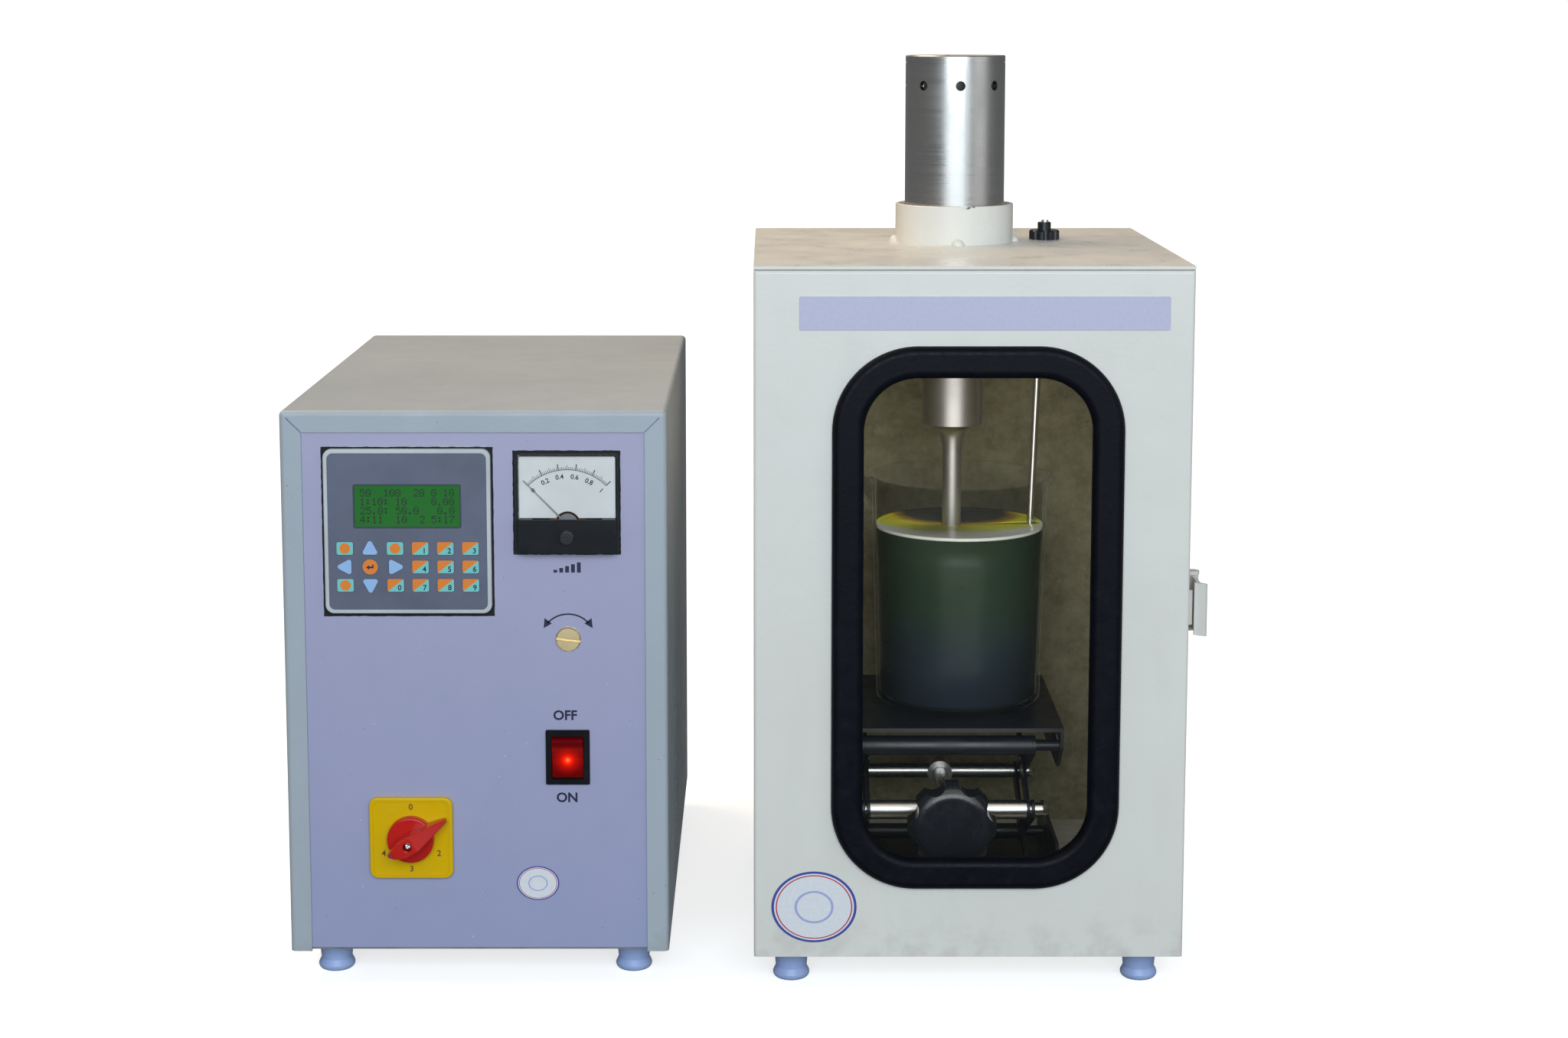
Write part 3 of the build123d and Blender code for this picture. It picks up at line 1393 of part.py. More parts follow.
def jack_rear_rod():
    return screw_rod(rod_rear_radius, mid_rear[0], mid_rear[1], spindle_clearance)


knob_y0 = case_front + jack_knob_front
knob_y1 = knob_y0 + jack_knob_depth
spindle_end = mid_front[0] + jack_arm_length * cos(radians(jack_low_angle)) + boss_radius


def jack_spindle():
    z = mid_front[1]
    spindle = rod_y(spindle_radius, jack_centre, knob_y1 - 8, spindle_end, z)
    spindle = chamfer(spindle.faces().sort_by(Axis.Y)[-1].edges(), 1)
    near = mid_front[0] - rod_front_radius - 2
    stop = rod_y(spindle_radius + 3, jack_centre, near - 4 - fit, near - fit, z)
    return spindle + stop


def jack_knob():
    """A lobed grip with a domed front."""
    z = mid_front[1]
    knob = rod_y(jack_knob_radius, jack_centre, knob_y0, knob_y1, z)
    knob = fillet(front_edges(knob), 8)
    for number in range(jack_knob_lobes):
        angle = radians((number + 0.5) * 360 / jack_knob_lobes)
        reach = jack_knob_radius + 4.0
        knob = knob - rod_y(
            8.0, jack_centre + reach * cos(angle), knob_y0 - 1, knob_y1 + 1, z + reach * sin(angle)
        )
    return knob - rod_y(spindle_radius, jack_centre, knob_y1 - 8, knob_y1 + 1, z)


def beaker():
    """A tapered one-litre beaker with a rolled rim and a spout on the left."""
    x, y = case_x + beaker_x, probe_y
    z0, z1 = jack_top, jack_top + beaker_height
    inner_base = beaker_base_radius - beaker_wall
    inner_top = beaker_top_radius - beaker_wall
    outside = (
        (0, z0), (beaker_base_radius - 3, z0), (beaker_base_radius, z0 + 3), (beaker_top_radius, z1 - 5),
        (beaker_rim_radius, z1 - 1), (beaker_rim_radius - 0.8, z1), (0, z1)
    )
    inside = (
        (0, z0 + beaker_floor), (inner_base - 3, z0 + beaker_floor), (inner_base, z0 + beaker_floor + 3),
        (inner_top, z1 - 5), (inner_top + 1.6, z1), (inner_top + 1.6, z1 + 1), (0, z1 + 1)
    )
    top_cut = block((x - 90, x + 90), (y - 90, y + 90), (z1, z1 + 40))
    lean = degrees(atan2(spout_reach, spout_height))
    place = Pos(x - beaker_top_radius + 1, y, z1 - spout_height / 2) * Rot(0, -lean, 0)
    spout_out = place * Cone(2.0, 12.0, spout_height + 6)
    spout_in = place * Pos(0, 0, 1.5) * Cone(0.5, 10.2, spout_height + 6)
    solid = turned(outside, x, y) + (spout_out - top_cut)
    return solid - turned(inside, x, y) - spout_in


pieces = {
    "gen_cover": gen_cover(),
    "gen_chassis": gen_chassis(),
    "gen_front_plate": gen_front_plate(),
    "gen_overlay": gen_overlay(),
    "cover_screws": cover_screws(0),
    "feet": feet(gen_x, gen_foot_x, *gen_foot_rows) + feet(case_x, case_foot_x, *case_foot_rows),
    "controller_housing": controller_housing(),
    "controller_bezel": controller_bezel(),
    "controller_keypad": controller_keypad(),
    "controller_display": controller_display(),
    "meter_cover": meter_cover(),
    "meter_case": meter_case(),
    "meter_dial": meter_dial(),
    "meter_movement": meter_movement(),
    "meter_needle": meter_needle(),
    "meter_zero_screw": meter_zero_screw(),
    "tuning_screw": tuning_screw(),
    "tuning_coil": tuning_coil(),
    "power_switch_body": power_switch_body(),
    "power_rocker": power_rocker(),
    "selector_plate": selector_plate(),
    "selector_body": selector_body(),
    "selector_knob": selector_knob(),
    "selector_screw": selector_screw(),
    "transformer": transformer(),
    "driver_board": driver_board(),
    "heat_sink": heat_sink(),
    "fan_frame": fan_frame(),
    "fan_rotor": fan_rotor(),
    "rear_sockets": rear_sockets(),
    "case_shell": case_shell(),
    "case_lining": case_lining(),
    "collar": collar(),
    "collar_ring": collar_ring(),
    "sensor_gland": sensor_gland(),
    "temp_sensor": temp_sensor(),
    "hinge_pins": hinge_pins(),
    "door_panel": door_panel(),
    "window_pane": window_pane(),
    "window_seal": window_seal(),
    "door_gasket": door_gasket(),
    "latch_base": latch_base(),
    "latch_lever": latch_lever(),
    "latch_keeper": latch_keeper(),
    "converter_housing": converter_housing(),
    "converter_cap": converter_cap_piece(),
    "piezo_rings": piezo_rings(),
    "stack_masses": stack_masses(),
    "horn": horn(),
    "jack_base": jack_tray(False),
    "jack_plate": jack_tray(True),
    "lower_main_arms": lower_main_arms(),
    "lower_cross_arms": lower_cross_arms(),
    "upper_main_arms": upper_main_arms(),
    "upper_cross_arms": upper_cross_arms(),
    "jack_front_rod": jack_front_rod(),
    "jack_rear_rod": jack_rear_rod(),
    "jack_spindle": jack_spindle(),
    "jack_knob": jack_knob(),
    "beaker": beaker(),
}

os.makedirs("parts", exist_ok=True)
for name, shape in pieces.items():
    write(name, *(shape if isinstance(shape, list) else [shape]))
print(len(pieces), "pieces written")
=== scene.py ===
import math
import random

import bmesh
import bpy
from mathutils import Matrix, Vector


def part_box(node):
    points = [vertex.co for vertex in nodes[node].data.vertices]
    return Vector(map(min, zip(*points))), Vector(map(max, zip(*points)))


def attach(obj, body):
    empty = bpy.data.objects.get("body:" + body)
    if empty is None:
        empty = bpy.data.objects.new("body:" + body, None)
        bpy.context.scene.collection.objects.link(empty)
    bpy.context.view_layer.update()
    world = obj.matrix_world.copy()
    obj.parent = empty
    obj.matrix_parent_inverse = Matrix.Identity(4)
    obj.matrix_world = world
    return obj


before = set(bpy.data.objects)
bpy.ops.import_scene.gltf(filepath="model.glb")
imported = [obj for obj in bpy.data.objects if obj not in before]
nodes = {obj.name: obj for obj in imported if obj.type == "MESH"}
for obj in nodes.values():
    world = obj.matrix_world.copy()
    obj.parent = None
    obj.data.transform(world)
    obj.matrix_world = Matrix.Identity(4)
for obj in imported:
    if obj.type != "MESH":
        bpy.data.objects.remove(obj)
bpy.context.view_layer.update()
MM = 0.001


def corners(node):
    """A CAD node's lowest and highest corners at rest, in millimetres."""
    return [[round(value / MM, 2) for value in corner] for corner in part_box(node)]


def middle(node):
    """The middle of a CAD node at rest, in millimetres."""
    low, high = corners(node)
    return [(a + b) / 2 for a, b in zip(low, high)]


# Places from the CAD, in millimetres
GEN_X = middle("gen_cover")[0]
CASE_X = middle("case_shell")[0]
PANEL_Y = corners("gen_overlay")[0][1]
CASE_FRONT = corners("door_panel")[0][1]
JACK_TOP = corners("jack_plate")[1][2]
CONTROLLER_X, _, CONTROLLER_Z = middle("controller_bezel")
DISPLAY_Z = middle("controller_display")[2]
METER_X, _, METER_Z = middle("meter_cover")
SWITCH_X, _, SWITCH_Z = middle("power_switch_body")
TUNING_X, _, TUNING_Z = middle("tuning_screw")
SELECTOR_X, _, SELECTOR_Z = middle("selector_plate")
PROBE_X, PROBE_Y = middle("horn")[:2]
BEAKER_X, BEAKER_Y = PROBE_X + 5, PROBE_Y
SENSOR_TIP = (181.25, -8.5)
SENSOR_LEAN = (7.5 / 185, 8 / 185)    # sideways and back, for each millimetre up
JACK_RISE = 71.2    # just over the lift from rest to the top

# Sizes of what is made here, in millimetres
LIQUID_TOP = 244.0
INK = 0.04    # thickness of print
KEY_WIDTH, KEY_HEIGHT, KEY_CORNER = 9.4, 7.4, 1.0
KEY_STEP_X, KEY_STEP_Z = 14.45, 10.8
SCALE_RADIUS = 31.6
NEEDLE_PIVOT_DROP = 11.6

# The camera fitted to the photograph, in metres and radians
CAMERA_PLACE = (0.0138, -1.6618, 0.5642)
CAMERA_PITCH = 0.128
CAMERA_LENS = 60.4
CAMERA_SHIFT = (0.0104, -0.104)


def place_in_scene(name, data):
    """A new object of this data, in the scene."""
    made = bpy.data.objects.new(name, data)
    bpy.context.scene.collection.objects.link(made)
    return made


def add_camera():
    data = bpy.data.cameras.new("camera")
    camera = place_in_scene("camera", data)
    camera.location = CAMERA_PLACE
    camera.rotation_euler = (math.pi / 2 - CAMERA_PITCH, 0, 0)
    data.sensor_width = 36.0
    data.lens = CAMERA_LENS
    data.shift_x, data.shift_y = CAMERA_SHIFT
    data.clip_start = 0.05
    data.clip_end = 50.0
    bpy.context.scene.camera = camera


# Materials

class Shader:
    """A short way to write a node tree that ends in one Principled shader."""

    def __init__(self, name, color, rough, metal=0.0, **sockets):
        self.material = bpy.data.materials.new(name)
        self.material.use_nodes = True
        self.tree = self.material.node_tree
        self.bsdf = self.tree.nodes["Principled BSDF"]
        self.set("Base Color", (*color, 1))
        self.set("Roughness", rough)
        self.set("Metallic", metal)
        for socket, value in sockets.items():
            self.set(socket.replace("_", " "), value)
        self.coordinates = self.node("ShaderNodeTexCoord").outputs["Object"]

    def set(self, socket, value):
        self.bsdf.inputs[socket].default_value = value

    def node(self, kind, **values):
        made = self.tree.nodes.new(kind)
        for key, value in values.items():
            setattr(made, key, value)
        return made

    def link(self, output, target):
        self.tree.links.new(output, target)

    def to(self, socket, output):
        self.tree.links.new(output, self.bsdf.inputs[socket])

    def stretch(self, x, y, z):
        mapping = self.node("ShaderNodeMapping")
        mapping.inputs["Scale"].default_value = (x, y, z)
        self.link(self.coordinates, mapping.inputs["Vector"])
        return mapping.outputs["Vector"]

    def noise(self, scale, detail, rough=0.6, vector=None):
        made = self.node("ShaderNodeTexNoise")
        made.inputs["Scale"].default_value = scale
        made.inputs["Detail"].default_value = detail
        made.inputs["Roughness"].default_value = rough
        self.link(vector or self.coordinates, made.inputs["Vector"])
        return made.outputs["Fac"]

    def cells(self, scale):
        made = self.node("ShaderNodeTexVoronoi")
        made.inputs["Scale"].default_value = scale
        self.link(self.coordinates, made.inputs["Vector"])
        return made.outputs["Distance"]

    def distance(self, x, y):
        """How far a point lies from zero, from two of its coordinates."""
        return self.math("SQRT", self.math("ADD", self.math("MULTIPLY", x, x), self.math("MULTIPLY", y, y)))

    def axis(self, name):
        made = self.node("ShaderNodeSeparateXYZ")
        self.link(self.coordinates, made.inputs["Vector"])
        return made.outputs[name]

    def span(self, value, low, high, out_low=0.0, out_high=1.0):
        made = self.node("ShaderNodeMapRange")
        for socket, number in zip(made.inputs[1:5], (low, high, out_low, out_high)):
            socket.default_value = number
        self.link(value, made.inputs[0])
        return made.outputs[0]

    def math(self, operation, a, b=None):
        made = self.node("ShaderNodeMath", operation=operation)
        for socket, value in zip(made.inputs, (a, b)):
            if value is None:
                continue
            if isinstance(value, (int, float)):
                socket.default_value = value
            else:
                self.link(value, socket)
        return made.outputs[0]

    def ramp(self, value, *stops):
        made = self.node("ShaderNodeValToRGB")
        ramp = made.color_ramp
        while len(ramp.elements) < len(stops):
            ramp.elements.new(0.5)
        for element, (place, color) in zip(ramp.elements, stops):
            element.position = place
            element.color = (*color, 1)
        self.link(value, made.inputs["Fac"])
        return made.outputs["Color"]

    def mix(self, fac, a, b):
        made = self.node("ShaderNodeMix", data_type="RGBA")
        for socket, value in ((made.inputs[0], fac), (made.inputs[6], a), (made.inputs[7], b)):
            if isinstance(value, tuple):
                socket.default_value = (*value, 1)
            elif isinstance(value, (int, float)):
                socket.default_value = value
            else:
                self.link(value, socket)
        return made.outputs[2]

    def bump(self, height, strength, distance, under=None):
        made = self.node("ShaderNodeBump")
        made.inputs["Strength"].default_value = strength
        made.inputs["Distance"].default_value = distance
        self.link(height, made.inputs["Height"])
        if under is not None:
            self.link(under, made.inputs["Normal"])
        return made.outputs["Normal"]

    def speckle(self, scale, size, share):
        """Sparse small spots: cells that a slow noise switches on where it is above share."""
        spots = self.span(self.cells(scale), size, size * 0.5)
        return self.math("MULTIPLY", spots, self.span(self.noise(scale * 0.31, 2), share, share + 0.03))


def scaled(color, share):
    return tuple(value * share for value in color)


def powder_paint(name, color, shade, grain, rough, chips):
    """Powder-coated steel: a fine pebble grain, slow colour drift, grime low down and small chips."""
    s = Shader(name, color, rough)
    drift = s.noise(9, 4)
    tone = s.mix(s.span(drift, 0.35, 0.7), color, shade)
    streak = s.noise(4, 3, vector=s.stretch(7, 0.8, 1.2))
    tone = s.mix(s.span(streak, 0.52, 0.75, 0, 0.35), tone, scaled(color, 0.86))
    dirt = s.math("MULTIPLY", s.span(s.axis("Z"), 0.05, 0.018), s.span(s.noise(60, 6), 0.45, 0.65))
    tone = s.mix(s.math("MULTIPLY", dirt, 0.3), tone, (0.30, 0.27, 0.23))
    spots = s.speckle(230, 0.16, chips)
    tone = s.mix(s.math("MULTIPLY", spots, 0.45), tone, (0.16, 0.15, 0.13))
    s.to("Base Color", tone)
    s.to("Roughness", s.span(s.noise(35, 5), 0.3, 0.7, rough - 0.06, rough + 0.1))
    pebble = s.bump(s.noise(grain, 2, 0.5), 0.22, 0.0003)
    s.to("Normal", s.bump(spots, 0.25, 0.0002, pebble))
    return s.material


def plastic(name, color, rough, grain=900, drift=0.08, bump=0.1, **sockets):
    """Moulded plastic: a fine texture, slight colour drift and dull rubbed patches."""
    s = Shader(name, color, rough, **sockets)
    tone = s.mix(s.span(s.noise(25, 4), 0.35, 0.7), color, scaled(color, 1 - drift * 2))
    dust = s.speckle(420, 0.14, 0.6)
    tone = s.mix(s.math("MULTIPLY", dust, 0.3), tone, tuple(min(1, c + 0.2) for c in color))
    s.to("Base Color", tone)
    s.to("Roughness", s.span(s.noise(70, 5), 0.3, 0.75, max(0.05, rough - 0.1), rough + 0.12))
    s.to("Normal", s.bump(s.noise(grain, 3), bump, 0.0002))
    return s.material


def metal(name, color, rough, streaks=(1, 1, 140), dull=None):
    """Turned or drawn metal: fine tool lines, cloudy tarnish and faint handling marks."""
    s = Shader(name, color, rough, 1.0)
    lines = s.noise(60, 3, 0.7, s.stretch(*streaks))
    cloud = s.noise(30, 5)
    tone = s.mix(s.span(cloud, 0.42, 0.72, 0, 0.8), color, dull or scaled(color, 0.72))
    tone = s.mix(s.span(lines, 0.35, 0.65, 0, 0.25), tone, scaled(color, 0.8))
    s.to("Base Color", tone)
    lined = s.span(lines, 0.3, 0.7, rough - 0.07, rough + 0.07)
    s.to("Roughness", s.math("ADD", lined, s.span(cloud, 0.4, 0.8, 0, 0.12)))
    s.to("Normal", s.bump(lines, 0.12, 0.0002))
    return s.material


def overlay_film():
    """The printed film: lavender, a little bluer towards the foot, with pale and dark specks."""
    s = Shader("overlay_film", (0.40, 0.385, 0.55), 0.42)
    tone = s.ramp(
        s.span(s.axis("Z"), 0.02, 0.34),
        (0.0, (0.335, 0.365, 0.56)), (0.5, (0.385, 0.385, 0.55)), (1.0, (0.43, 0.415, 0.57))
    )
    tone = s.mix(s.span(s.noise(14, 3), 0.35, 0.7, 0, 0.35), tone, (0.42, 0.38, 0.54))
    pale = s.speckle(170, 0.10, 0.57)
    dark = s.speckle(263, 0.12, 0.60)
    tone = s.mix(s.math("MULTIPLY", pale, 0.5), tone, (0.75, 0.76, 0.85))
    tone = s.mix(s.math("MULTIPLY", dark, 0.6), tone, (0.10, 0.10, 0.18))
    s.to("Base Color", tone)
    s.to("Roughness", s.span(s.noise(50, 4), 0.3, 0.7, 0.34, 0.5))
    s.to("Normal", s.bump(s.noise(700, 2), 0.12, 0.0002))
    return s.material


def felt_lining():
    """Sound lining: a soft pile in mottled olive browns."""
    s = Shader("felt_lining", (0.15, 0.13, 0.075), 0.95)
    clumps = s.noise(85, 8, 0.7)
    fibres = s.noise(900, 6, 0.75)
    tone = s.ramp(clumps, (0.30, (0.19, 0.165, 0.09)), (0.5, (0.32, 0.285, 0.165)), (0.70, (0.43, 0.395, 0.24)))
    tone = s.mix(s.span(s.noise(230, 6), 0.52, 0.68, 0, 0.5), tone, (0.46, 0.42, 0.27))
    tone = s.mix(s.span(fibres, 0.35, 0.7), tone, s.mix(0.5, tone, (0.28, 0.25, 0.16)))
    s.to("Base Color", tone)
    s.set("Sheen Weight", 0.35)
    s.set("Sheen Roughness", 0.5)
    s.to("Normal", s.bump(s.mix(0.5, clumps, fibres), 0.75, 0.0016))
    return s.material


def seal_rubber():
    """Extruded rubber: near black with a navy cast, faint lengthwise lines and pale dust."""
    navy = (0.003, 0.0035, 0.007)
    s = Shader("seal_rubber", navy, 0.48, Specular_IOR_Level=0.12)
    dust = s.noise(120, 7, 0.7)
    tone = s.mix(s.span(dust, 0.55, 0.78, 0, 0.4), navy, (0.014, 0.016, 0.024))
    s.to("Base Color", tone)
    s.to("Roughness", s.span(dust, 0.35, 0.7, 0.36, 0.62))
    s.to("Normal", s.bump(s.noise(420, 4), 0.3, 0.0004))
    return s.material


def clear(name, color, alpha, rough=0.05, haze=0.0, edge=0.4, start=0.25):
    """Clear or hazy moulding: see-through in the middle and denser where it is seen edge on."""
    s = Shader(name, color, rough, IOR=1.46, Specular_IOR_Level=0.6)
    blend = s.node("ShaderNodeLayerWeight")
    blend.inputs["Blend"].default_value = 0.35
    smear = s.span(s.noise(18, 6), 0.4, 0.75, 0, haze)
    dense = s.span(blend.outputs["Facing"], start, 0.97, alpha, edge)
    s.to("Alpha", s.math("ADD", dense, smear))
    s.to("Roughness", s.span(s.noise(26, 5), 0.35, 0.75, rough, rough + 0.12))
    return s.material


def lit_rocker():
    """Translucent red with a hot spot where the lamp shows through, just below its middle, and a painted highlight
    band a little above the middle with painted shade towards the top and bottom ends.
    """
    s = Shader("lit_rocker", (0.30, 0.004, 0.003), 0.2, Specular_IOR_Level=0.12)
    x = s.math("SUBTRACT", s.axis("X"), SWITCH_X * MM)
    z = s.math("SUBTRACT", s.axis("Z"), (SWITCH_Z - 1.6) * MM)
    glow = s.span(s.distance(x, z), 0.0095, 0.0)
    # Base colour by height: a painted highlight band a little above the middle and painted shade towards both ends
    s.to("Base Color", s.ramp(
        s.span(s.axis("Z"), (SWITCH_Z - 14) * MM, (SWITCH_Z + 14) * MM),
        (0.0, (0.09, 0.0, 0.001)), (0.5, (0.26, 0.003, 0.002)), (0.7, (0.34, 0.006, 0.004)),
        (0.78, (0.17, 0.001, 0.002)), (1.0, (0.10, 0.0, 0.001))
    ))
    s.to("Emission Color", s.ramp(
        glow, (0.0, (0.10, 0.0, 0.0)), (0.55, (0.55, 0.004, 0.0)), (0.8, (1.0, 0.02, 0.0)), (1.0, (1.0, 0.22, 0.06))
    ))
    s.to("Emission Strength", s.span(glow, 0.0, 1.0, 0.12, 1.1))
    s.to("Normal", s.bump(s.noise(300, 2), 0.05, 0.0002))
    return s.material


def display_glass():
    """A backlit liquid-crystal panel: uneven green behind smooth glass."""
    s = Shader("display_glass", (0.012, 0.075, 0.015), 0.12, Coat_Weight=0.5)
    tone = s.mix(s.span(s.noise(30, 3), 0.3, 0.7), (0.010, 0.062, 0.013), (0.014, 0.085, 0.017))
    s.to("Base Color", tone)
    s.to("Emission Color", s.mix(s.span(s.noise(22, 2), 0.3, 0.7), (0.02, 0.25, 0.03), (0.03, 0.31, 0.04)))
    s.set("Emission Strength", 0.30)
    return s.material


def worn_black():
    """Black paint on steel: satin, scuffed to bare metal here and there."""
    black = (0.006, 0.008, 0.013)
    s = Shader("worn_black", black, 0.34, Specular_IOR_Level=0.4)
    scuff = s.noise(75, 8, 0.75)
    worn = s.span(scuff, 0.66, 0.74)
    s.to("Base Color", s.mix(worn, black, (0.12, 0.12, 0.12)))
    s.to("Metallic", s.math("MULTIPLY", worn, 0.7))
    s.to("Roughness", s.span(s.noise(40, 5), 0.3, 0.7, 0.26, 0.5))
    s.to("Normal", s.bump(scuff, 0.15, 0.0003))
    return s.material


def laminations():
    """A transformer's stacked iron sheets, seen edge on."""
    s = Shader("laminations", (0.06, 0.055, 0.05), 0.5, 0.6)
    lines = s.noise(40, 2, 0.5, s.stretch(0.1, 60, 0.1))
    s.to("Base Color", s.mix(s.span(lines, 0.4, 0.6), (0.05, 0.045, 0.04), (0.16, 0.14, 0.12)))
    s.to("Normal", s.bump(lines, 0.5, 0.0004))
    return s.material


def copper_wire():
    """Enamelled wire: bright and dark turns side by side."""
    s = Shader("copper_wire", (0.60, 0.24, 0.09), 0.32, 0.9)
    turns = s.noise(260, 2, 0.5, s.stretch(0.3, 6, 0.3))
    s.to("Base Color", s.mix(s.span(turns, 0.35, 0.65), (0.28, 0.09, 0.03), (0.72, 0.33, 0.14)))
    s.to("Normal", s.bump(turns, 0.6, 0.0004))
    return s.material


def dead_liquid():
    """The liquid: dark green, bluer low down, with a pale crescent on the front of its surface
    that fades through yellow to dark."""
    s = Shader("liquid", (0.01, 0.05, 0.03), 0.3, Specular_IOR_Level=0.12)
    tone = s.ramp(
        s.span(s.axis("Z"), 0.134, LIQUID_TOP * MM),
        (0.0, (0.002, 0.005, 0.018)), (0.35, (0.003, 0.010, 0.017)), (0.6, (0.006, 0.020, 0.007)),
        (0.93, (0.010, 0.025, 0.007)), (1.0, (0.016, 0.034, 0.010))
    )
    tone = s.mix(s.span(s.noise(22, 4), 0.35, 0.7, 0, 0.4), tone, s.mix(0.5, tone, (0.006, 0.024, 0.022)))
    x = s.math("SUBTRACT", s.axis("X"), BEAKER_X * MM)
    y = s.math("SUBTRACT", s.axis("Y"), (BEAKER_Y + 40) * MM)
    far = s.math("ADD", s.distance(x, y), s.span(s.noise(40, 4), 0.3, 0.7, -0.0025, 0.0025))
    face = s.ramp(
        s.span(far, 0.0, 0.095),
        (0.0, (0.035, 0.03, 0.032)), (0.34, (0.05, 0.045, 0.03)), (0.41, (0.40, 0.24, 0.03)),
        (0.48, (0.90, 0.76, 0.04)), (0.59, (0.86, 0.92, 0.08)), (0.66, (0.90, 0.94, 0.30)),
        (0.71, (0.94, 0.95, 0.88))
    )
    on_top = s.span(s.axis("Z"), (LIQUID_TOP - 0.9) * MM, (LIQUID_TOP - 0.3) * MM)
    s.to("Base Color", s.mix(on_top, tone, face))
    s.to("Roughness", s.span(s.noise(30, 3), 0.3, 0.7, 0.26, 0.36))
    return s.material


def flat_ink(name, color, rough):
    """Printing ink, slightly uneven."""
    s = Shader(name, color, rough)
    thin = tuple(value * 0.75 + 0.02 for value in color)
    s.to("Base Color", s.mix(s.span(s.noise(500, 4), 0.35, 0.75, 0, 0.35), color, thin))
    return s.material


def scratched_steel(name, color, rough):
    """A turned tube or bar, with rings of tool marks and dull handling."""
    s = Shader(name, color, rough, 1.0, Anisotropic=0.3)
    rings = s.noise(10, 4, 0.7, s.stretch(1, 1, 170))
    cloud = s.noise(22, 6, 0.6, s.stretch(1, 1, 0.6))
    s.to("Base Color", s.mix(s.span(cloud, 0.38, 0.7, 0, 0.8), color, scaled(color, 0.74)))
    lined = s.span(rings, 0.3, 0.7, rough - 0.05, rough + 0.05)
    s.to("Roughness", s.math("ADD", lined, s.span(cloud, 0.4, 0.75, 0, 0.14)))
    s.to("Normal", s.bump(rings, 0.035, 0.0002))
    return s.material


def dress_nodes():
    """Each CAD node gets its finish."""
    grey = powder_paint("pebble_grey", (0.42, 0.47, 0.51), (0.38, 0.425, 0.46), 620, 0.44, 0.60)
    cream = powder_paint("cream_coat", (0.80, 0.775, 0.715), (0.76, 0.735, 0.67), 300, 0.30, 0.71)
    black = plastic("black_moulding", (0.005, 0.006, 0.008), 0.38, Specular_IOR_Level=0.2)
    steel = metal("plain_steel", (0.60, 0.59, 0.57), 0.26)
    zinc = metal("zinc_sheet", (0.55, 0.56, 0.56), 0.38, streaks=(1, 1, 1))
    alloy = metal("bare_aluminium", (0.66, 0.67, 0.68), 0.36)
    finishes = {
        grey: ["gen_cover"],
        cream: ["case_shell", "door_panel", "collar", "latch_base", "latch_lever", "latch_keeper"],
        zinc: ["gen_chassis"],
        overlay_film(): ["gen_overlay"],
        alloy: ["gen_front_plate", "heat_sink", "stack_masses"],
        steel: ["hinge_pins", "jack_front_rod", "jack_rear_rod", "jack_spindle"],
        metal("bright_screw", (0.78, 0.78, 0.78), 0.15): ["cover_screws", "selector_screw"],
        plastic("periwinkle_foot", (0.40, 0.51, 0.83), 0.36, Subsurface_Weight=0.15): ["feet"],
        black: ["controller_housing", "meter_case", "power_switch_body", "selector_body", "fan_frame", "rear_sockets"],
        plastic("black_rotor", (0.03, 0.03, 0.032), 0.3): ["fan_rotor", "meter_zero_screw"],
        plastic("jack_grip", (0.008, 0.010, 0.015), 0.24, 500): ["jack_knob", "sensor_gland"],
        plastic("bezel_grey", (0.58, 0.61, 0.62), 0.42): ["controller_bezel"],
        plastic("membrane_blue", (0.130, 0.142, 0.205), 0.40, 1100): ["controller_keypad"],
        display_glass(): ["controller_display"],
        clear("meter_cover_clear", (0.35, 0.37, 0.38), 0.01, 0.03, 0.0, 0.25): ["meter_cover"],
        plastic("dial_white", (0.80, 0.80, 0.78), 0.5): ["meter_dial"],
        copper_wire(): ["meter_movement", "tuning_coil"],
        plastic("needle_grey", (0.22, 0.22, 0.22), 0.45): ["meter_needle"],
        metal("tuning_brass", (0.86, 0.68, 0.38), 0.42, streaks=(1, 1, 60), dull=(0.50, 0.36, 0.18)): ["tuning_screw"],
        lit_rocker(): ["power_rocker"],
        plastic("plate_yellow", (0.80, 0.50, 0.0), 0.26, 700, 0.05, Specular_IOR_Level=0.3): ["selector_plate"],
        plastic("knob_red", (0.60, 0.012, 0.008), 0.24, 500, 0.06, Specular_IOR_Level=0.4): ["selector_knob"],
        laminations(): ["transformer"],
        plastic("board_green", (0.015, 0.13, 0.045), 0.35): ["driver_board"],
        felt_lining(): ["case_lining"],
        plastic("natural_nylon", (0.72, 0.68, 0.56), 0.4): ["collar_ring"],
        metal("polished_rod", (0.74, 0.74, 0.73), 0.14): ["temp_sensor"],
        clear("smoky_pane", (0.03, 0.032, 0.03), 0.07, 0.03, 0.02, 0.3): ["window_pane"],
        seal_rubber(): ["window_seal"],
        plastic("foam_black", (0.02, 0.02, 0.02), 0.9, 260, bump=0.6): ["door_gasket"],
        scratched_steel("converter_steel", (0.62, 0.60, 0.57), 0.28): ["converter_housing", "converter_cap"],
        plastic("piezo_ceramic", (0.33, 0.27, 0.18), 0.6): ["piezo_rings"],
        scratched_steel("horn_titanium", (0.50, 0.48, 0.46), 0.38): ["horn"],
        worn_black(): [
            "jack_base", "jack_plate", "lower_main_arms", "lower_cross_arms", "upper_main_arms", "upper_cross_arms"
        ],
        clear("hazy_beaker", (0.60, 0.68, 0.63), 0.008, 0.34, 0.008, 0.75, 0.62): ["beaker"],
    }
    for material, names in finishes.items():
        for name in names:
            data = nodes[name].data
            data.materials.clear()
            data.materials.append(material)
    assert not set(nodes) - {name for names in finishes.values() for name in names}


# Pieces made here

